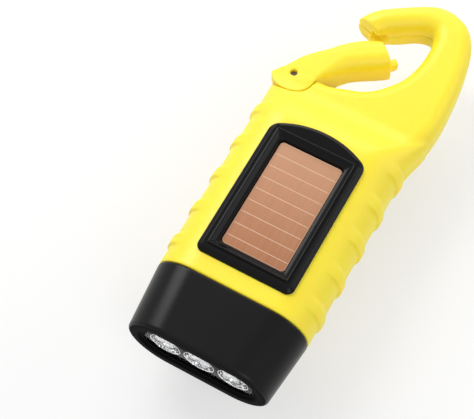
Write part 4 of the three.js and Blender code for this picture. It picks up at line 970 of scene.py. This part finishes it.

# Reflector: a black carrier plate with three bright cups whose steps and flutes break up their
# sparkle, and dark reflections painted into the cups' colour in rings and flutes. Plate and cups
# are moulded, and the cups are mirror coated.
REFLECTOR_FACE = HEAD_END + 1.5
CARRIER_DEEP = 0.9
CARRIER_GAP = 0.32
CUP_RADIUS = 4.85
LIGHT_PITCH = 10.75
LIGHTS = (-LIGHT_PITCH, 0.0, LIGHT_PITCH)
FLUTES = 12
FLUTE_DEEP = 0.05
CUP_SIDES = 120
CARRIER_MESH = 0.3
cup_inside = [
    (4.84, -0.02), (4.62, -0.02), (4.54, 0.12), (4.4, 1.3), (4.04, 1.4), (3.84, 2.9), (3.46, 3.0),
    (3.16, 5.2), (2.84, 5.3), (2.6, 8.2),
]
cup_outside = [(2.8, 8.2), (3.4, 5.6), (3.9, 4.0), (4.4, 2.4), (CUP_RADIUS, 0.9)]


def carrier_shape(x, y, z):
    plate = stadium(x, z, WINDOW_HALF_WIDTH - CARRIER_GAP, WINDOW_HALF_HEIGHT - CARRIER_GAP)
    plate = both(plate, between(y, REFLECTOR_FACE, REFLECTOR_FACE + CARRIER_DEEP))
    for at in LIGHTS:
        plate = soft_both(plate, CUP_RADIUS + 0.02 - np.hypot(x - at, z), 0.2)
    return plate


low, high = (-17.1, REFLECTOR_FACE, -6.2), (17.1, REFLECTOR_FACE + CARRIER_DEEP, 6.2)
shape = skin(carrier_shape, low, high, CARRIER_MESH)
add_piece("cup_carrier", shape, "case", ["reflector"], head_black)
plating, paint = begin_finish("bright_plating", {"Metallic": 1.0})
across, deep, up = [place_along(paint, axis) for axis in "XYZ"]
across = (across + 1.5 * LIGHT_PITCH) % LIGHT_PITCH - LIGHT_PITCH / 2
about = paint.math("ARCTAN2", up, across)
waver = mottle(paint, 2.6, 1.0)
# Painted reflection: dark rings 2 mm apart and a dark line in each flute, both of them wavering,
# stand in for the dark surroundings mirrored in the cups.
ring = abs(((deep - REFLECTOR_FACE) * 0.5 + waver * 1.2) % 1.0 - 0.5) > 0.4
flute = abs((about * (FLUTES / math.pi / 2) + waver * 1.4) % 1.0 - 0.5) > 0.43
painted_dark_reflection = paint.clamp(ring * 0.7 + flute * 0.3)
silver = paint.mix(waver, (0.93, 0.94, 0.95, 1), WHITE)
silver = paint.mix(painted_dark_reflection, silver, (0.06, 0.062, 0.068, 1))
lay_on(paint, silver, 0.04 + waver * 0.06, waver, 0.08, 0.2)
profile = cup_inside + cup_outside
points, faces = [], []
for at in LIGHTS:
    start = len(points)
    for row, (radius, deep) in enumerate(profile):
        fluted = 2 < row < len(cup_inside) - 1
        for step in range(CUP_SIDES):
            angle = step / CUP_SIDES * 2 * math.pi
            reach = radius + FLUTE_DEEP * abs(math.sin(angle * FLUTES / 2)) * fluted
            points.append((
                at + reach * math.cos(angle), REFLECTOR_FACE + deep, reach * math.sin(angle),
            ))
    for face in ring_faces(len(profile), CUP_SIDES, closed=True):
        faces.append([start + corner for corner in face])
shape = points, faces
add_piece("bright_cups", shape, "case", ["reflector"], plating, 18)

# Lights: three domed bodies of clear resin that stand in the cups, each with its yellow chip
# inside. They are soldered to the board behind the reflector.
BOARD_FACE = HEAD_JOINT - NECK_LENGTH - 1.25
LIGHT_LENGTH = 5.05
LIGHT_TIP = BOARD_FACE - LIGHT_LENGTH
LIGHT_RADIUS = 2.4
LIGHT_SIDES = 32
CHIP_SIDES = 20
dome = [
    (LIGHT_RADIUS * math.cos(angle), LIGHT_RADIUS * (1 - math.sin(angle)))
    for angle in np.linspace(1.5, 0, 12)
]
light_profile = [*dome, (LIGHT_RADIUS, 4.2), (2.6, 4.25), (2.6, 4.95), (2.3, 4.98)]
chip_profile = [(0.5, 1.9), (1.0, 1.9), (0.7, 2.5), (0.7, 4.9)]
resin, paint = begin_finish("clear_resin", {
    "Transmission Weight": 0.85, "IOR": 1.5, "Base Color": (1, 1, 0.96, 1),
})
paint.feed(paint.shader.inputs["Roughness"], 0.04 + mottle(paint, 1.0) * 0.05)
chip, paint = begin_finish("chip_yellow", {"Roughness": 0.5})
phosphor = paint.mix(mottle(paint, 0.5), (0.9, 0.75, 0.2, 1), (0.95, 0.88, 0.45, 1))
paint.feed(paint.shader.inputs["Base Color"], phosphor)
for at, side in zip(LIGHTS, ("left", "middle", "right")):
    shape = turned(light_profile, LIGHT_SIDES, "Y", (at, LIGHT_TIP, 0))
    add_piece(side + "_light", shape, "case", [side + "_led"], resin, 40)
    shape = turned(chip_profile, CHIP_SIDES, "Y", (at, LIGHT_TIP, 0))
    add_piece(side + "_light_chip", shape, "case", [], chip, 30)

# Circuit boards: green lacquered laminate with copper tracks under the lacquer, one behind the
# lights and one that carries the charging parts and is screwed under the front half.
board, paint = begin_finish("circuit_board", {"Coat Roughness": 0.15, "Coat Weight": 0.3})
tracks = paint.node(
    "ShaderNodeTexBrick", {"offset": 0.3},
    {"Vector": object_place(paint), "Scale": 420.0, "Mortar Size": 0.03, "Mortar Smooth": 0.1},
    "Fac",
)
lacquer = paint.mix(mottle(paint, 5.0), (0.008, 0.10, 0.035, 1), (0.014, 0.15, 0.055, 1))
lacquer = paint.mix(tracks * 0.8, lacquer, (0.05, 0.26, 0.09, 1))
lay_on(paint, lacquer, 0.35 + mottle(paint, 0.6) * 0.2, tracks, 0.04, 0.4)
dress(board, "led_board", "main_board")

# Wires from the board to the lights: thin copper wires in soft red and black sleeves.
# They run from the main board through the neck and are soldered at both ends.
for node, colour in (
    ("led_wire_red", (0.45, 0.012, 0.012, 1)), ("led_wire_black", (0.012, 0.012, 0.012, 1)),
):
    dress(moulded(node + "_sleeve", colour, (0.3, 0.2, 0.2, 1), 0.45, 0.6, 0.01), node)

# Gear train: white nylon wheels with moulded pinions, on steel axles under a nylon plate. They
# step the crank's turn up thirty-six times to the brass pinion of the generator.
nylon = moulded(
    "white_nylon", (0.72, 0.70, 0.64, 1), (0.82, 0.81, 0.76, 1), 0.42, 0.4, 0.012,
    {"Subsurface Weight": 0.1, "Subsurface Scale": 0.001},
)
dress(nylon, "crank_gear", "first_gear", "second_gear", "gearbox_plate")
dress(bright_steel, "first_axle", "second_axle")

# Generator: a drawn steel can over a coil of lacquered copper wire, with a ring magnet inside
# that turns on a steel shaft with the brass pinion.
can_steel = metal("can_steel", (0.44, 0.45, 0.47, 1), 0.38, 0.4, (1, 1, 0.08))
dress(can_steel, "generator_can")
windings, paint = begin_finish("copper_windings", {"Metallic": 1.0, "Coat Weight": 0.5})
strands = paint.node(
    "ShaderNodeTexWave", {"bands_direction": "Z"},
    {"Vector": object_place(paint), "Scale": 1100.0, "Distortion": 0.4, "Detail": 1.0}, "Fac",
)
wire_colour = paint.mix(strands, (0.30, 0.09, 0.03, 1), (0.78, 0.34, 0.16, 1))
lay_on(paint, wire_colour, 0.25 + mottle(paint, 1.0) * 0.15, strands, 0.1, 0.7)
dress(windings, "generator_coil")
ferrite = moulded("ferrite", (0.035, 0.036, 0.04, 1), (0.08, 0.08, 0.085, 1), 0.6, 0.25, 0.02)
dress(ferrite, "rotor_magnet")
yellow_brass = metal("yellow_brass", (0.80, 0.56, 0.22, 1), 0.3, 0.2, (1, 1, 0.1))
dress(yellow_brass, "rotor_pinion")
dress(bright_steel, "rotor_shaft")

# Battery and push switch: a rechargeable cell in a green shrunk sleeve between two spring tabs,
# and a small black switch with a nylon stem under the button.
shrunk_sleeve = moulded(
    "battery_sleeve", (0.03, 0.27, 0.10, 1), (0.10, 0.40, 0.18, 1), 0.3, 2.0, 0.03,
    {"Coat Weight": 0.3},
)
dress(shrunk_sleeve, "battery")
dress(bright_steel, "battery_tab_plus", "battery_tab_minus")
dress(satin_black, "switch_body")
dress(nylon, "switch_stem")

# Screws: six zinc plated cross-head screws hold the case from the back, two more the board, and
# a broad one the crank on its shaft. All have sunk flat heads.
HEAD_HIGH = 1.2
HEAD_SUNK = 0.45
CASE_HEAD_RADIUS = 1.9
SCREW_BITE = 4.2
SHANK_RADIUS = 1.0
CROSS_HALF_WIDTH = 0.27
CROSS_LENGTH = 0.55
CROSS_DEPTH = 0.6
CROSS_MIDDLE_RADIUS = 0.35
CROSS_MIDDLE_DEPTH = 0.5
SCREW_MESH = 0.17
plated_screw = metal("plated_screw", (0.50, 0.51, 0.52, 1), 0.3, 0.3, (1, 0.2, 1))


def screw_shape(head_radius, length):
    """A flat head with a cross in it, and a shank that ends in a point."""
    arm = CROSS_LENGTH * head_radius

    def shape(x, y, z):
        head = soft_both(rod(x, y, 0, 0, head_radius), between(z, 0, HEAD_HIGH), 0.3)
        point = np.maximum(z - HEAD_HIGH - length + SHANK_RADIUS, 0)
        shank = both(rod(x, y, 0, 0, SHANK_RADIUS) + point, between(z, 1.0, length + HEAD_HIGH))
        deep = CROSS_DEPTH + CROSS_MIDDLE_DEPTH * (np.hypot(x, y) < CROSS_MIDDLE_RADIUS)
        cross = either(
            both(np.abs(x) - arm, np.abs(y) - CROSS_HALF_WIDTH),
            both(np.abs(y) - arm, np.abs(x) - CROSS_HALF_WIDTH),
        )
        return cut(either(head, shank), both(cross, z - deep), 0.12)
    return shape


def add_screw(name, head_radius, length, at, body, node):
    reach = head_radius + 0.2
    low, high = (-reach, -reach, 0), (reach, reach, length + HEAD_HIGH)
    points, faces = skin(screw_shape(head_radius, length), low, high, SCREW_MESH)
    add_piece(name, (points + np.array(at), faces), body, [node], plated_screw)


for node, (at_x, at_y, face) in CASE_SCREWS.items():
    seat = face + HEAD_SUNK
    add_screw(
        node + "_steel", CASE_HEAD_RADIUS, SCREW_BITE - seat - HEAD_HIGH, (at_x, at_y, seat),
        "case", node,
    )
dress(plated_screw, "left_board_screw", "right_board_screw")

# Crank: a moulded black arm on a steel shaft that turns in a brass bush in the back. A screw holds
# the arm on the shaft, and the fork at its far end takes the folded knob.
CRANK_RADIUS = 38.0
ARM_ROOF = -13.9
ARM_FLOOR = -21.9
ARM_MIDDLE = (ARM_ROOF + ARM_FLOOR) / 2
ARM_ROUND = 0.8
DISC_RADIUS = 8.6
BAR_MIDDLE = 15.7
BAR_HALF_WIDTH = 7.8
BAR_HALF_LENGTH = 21.7
SLOT_HALF_WIDTH = 4.5
SLOT_START = 11.6
FOLD_Y = CRANK_AT[1] + CRANK_RADIUS
FOLD_HOLE = 1.15
SHAFT_HOLE = 2.55
SHAFT_SOCKET_ROOF = 5.25
HUB_HEAD_RADIUS = 2.7
HUB_HEAD_HOLE = 2.82
HUB_SCREW_LENGTH = 5.5
DENT_MIDDLE = 7.6
DENT = (5.0, 2.6, 1.6)
DENT_DEPTH = 0.5
ARM_MESH = 0.34


def arm_shape(x, y, z):
    disc = rod(x, y, *CRANK_AT, DISC_RADIUS)
    bar = oblong(x, y - BAR_MIDDLE, BAR_HALF_WIDTH, BAR_HALF_LENGTH, BAR_HALF_WIDTH / 2)
    high = np.abs(z - ARM_MIDDLE) - (ARM_ROOF - ARM_FLOOR) / 2
    body = rounded(soft_either(disc, bar, 3.0), high, ARM_ROUND)
    body = cut(body, both(np.abs(x) - SLOT_HALF_WIDTH, SLOT_START - y), 0.4)
    body = both(body, FOLD_HOLE - np.hypot(y - FOLD_Y, z - ARM_MIDDLE))
    shaft = both(rod(x, y, *CRANK_AT, SHAFT_HOLE), ARM_ROOF - SHAFT_SOCKET_ROOF - z)
    screw = both(rod(x, y, *CRANK_AT, HUB_HEAD_HOLE), z - ARM_FLOOR - SCREW_SEAT_DEPTH)
    through = rod(x, y, *CRANK_AT, SCREW_HOLE)
    body = cut(body, either(shaft, screw, through), 0.3)
    dent = both(oblong(x, y - DENT_MIDDLE, *DENT), z - ARM_FLOOR - DENT_DEPTH)
    return cut(body, dent, 0.4)


shape = skin(arm_shape, (-8.7, -13.7, ARM_FLOOR), (8.7, 37.5, ARM_ROOF), ARM_MESH)
add_piece("crank_lever", shape, "crank", ["crank_arm"], satin_black)
add_screw(
    "hub_screw_steel", HUB_HEAD_RADIUS, HUB_SCREW_LENGTH, (*CRANK_AT, ARM_FLOOR + HEAD_SUNK),
    "crank", "hub_screw",
)
dress(bright_steel, "crank_shaft", "knob_fold_pin")
dress(yellow_brass, "crank_bush")

# Folding knob: a bracket that swings on the pin across the fork, an axle, and a fluted grip that
# spins on the axle. Bracket and grip are moulded in black plastic, and the axle is steel.
BRACKET_HALF_WIDTH = 4.15
BRACKET_ROUND = 3.6
BRACKET_END = 4.6
AXLE_HOLE = 1.15
AXLE_HOLE_START = -2.2
BRACKET_MESH = 0.28
KNOB_NEAR = -4.95
KNOB_LENGTH = 14.4
KNOB_RADIUS = 3.7
KNOB_SIDES = 120
KNOB_FLUTES = 10
KNOB_FLUTE_DEEP = 0.42
KNOB_FLUTE_SHARE = 0.16
KNOB_SHOULDER = 1.0
KNOB_RUNOUT = 0.6
KNOB_STEP = 0.4
KNOB_RINGS = 32
knob_end = [(1.16, 0.0), (2.9, 0.0), (3.4, 0.2), (3.66, 0.7)]


def bracket_shape(x, y, z):
    up, along = z - ARM_MIDDLE, y - FOLD_Y
    barrel = np.hypot(along, up) - BRACKET_ROUND
    block = both(between(along, -BRACKET_END, 0), np.abs(up) - BRACKET_ROUND)
    body = soft_both(either(barrel, block), np.abs(x) - BRACKET_HALF_WIDTH, 0.4)
    body = both(body, FOLD_HOLE + 0.01 - np.hypot(along, up))
    return both(body, -both(np.hypot(x, up) - AXLE_HOLE, along - AXLE_HOLE_START))


shape = skin(bracket_shape, (-4.2, 28.3, -21.6), (4.2, 36.7, -14.2), BRACKET_MESH)
add_piece("knob_fork", shape, "bracket", ["knob_bracket"], satin_black)
profile = [
    *[(radius, inwards - KNOB_LENGTH) for radius, inwards in knob_end],
    *[(KNOB_RADIUS, KNOB_SHOULDER - KNOB_LENGTH + KNOB_STEP * step) for step in range(KNOB_RINGS)],
    *[(radius, -inwards) for radius, inwards in reversed(knob_end)],
]
points, faces = turned(profile, KNOB_SIDES, "Y", (0, 0, 0), closed=True)
across, along, up = np.transpose(points)
place_in_flute = np.arctan2(up, across) * KNOB_FLUTES / (2 * math.pi) % 1 - 0.5
flute = np.clip(1 - np.abs(place_in_flute) / KNOB_FLUTE_SHARE, 0, 1) ** 0.5
near_end = np.clip((-along - KNOB_SHOULDER) / KNOB_RUNOUT, 0, 1)
far_end = np.clip((KNOB_LENGTH - KNOB_SHOULDER + along) / KNOB_RUNOUT, 0, 1)
outside = np.hypot(across, up) > 3.0
shrink = 1 - KNOB_FLUTE_DEEP / KNOB_RADIUS * flute * near_end * far_end * outside
points = np.stack([across * shrink, along + FOLD_Y + KNOB_NEAR, up * shrink + ARM_MIDDLE], axis=1)
shape = points, faces
add_piece("fluted_knob", shape, "knob", ["crank_knob"], satin_black, 40)
dress(bright_steel, "knob_axle")

# Button: a soft black cap, moulded in rubber, with a domed top and a fine raised ring. It sits in
# the back of the case, and its flange is held from inside.
BUTTON_TOP = -HALF_DEPTH - 0.8
FLANGE_ROOF = CAVITY_FLOOR + 0.85
BUTTON_SIDES = 48
button_top = [
    (0.3, 0.05), (1.5, 0.02), (1.7, 0), (1.9, 0.03), (2.5, 0.02), (2.85, 0.14), (3.0, 0.42),
]
profile = [(radius, BUTTON_TOP + sunk) for radius, sunk in button_top] + [
    (3.0, CAVITY_FLOOR + 0.02), (3.7, CAVITY_FLOOR + 0.05), (3.7, FLANGE_ROOF), (0.3, FLANGE_ROOF),
]
shape = turned(profile, BUTTON_SIDES, "Z", (*BUTTON_AT, 0))
add_piece("push_button", shape, "button", ["button_cap"], rubber, 35)
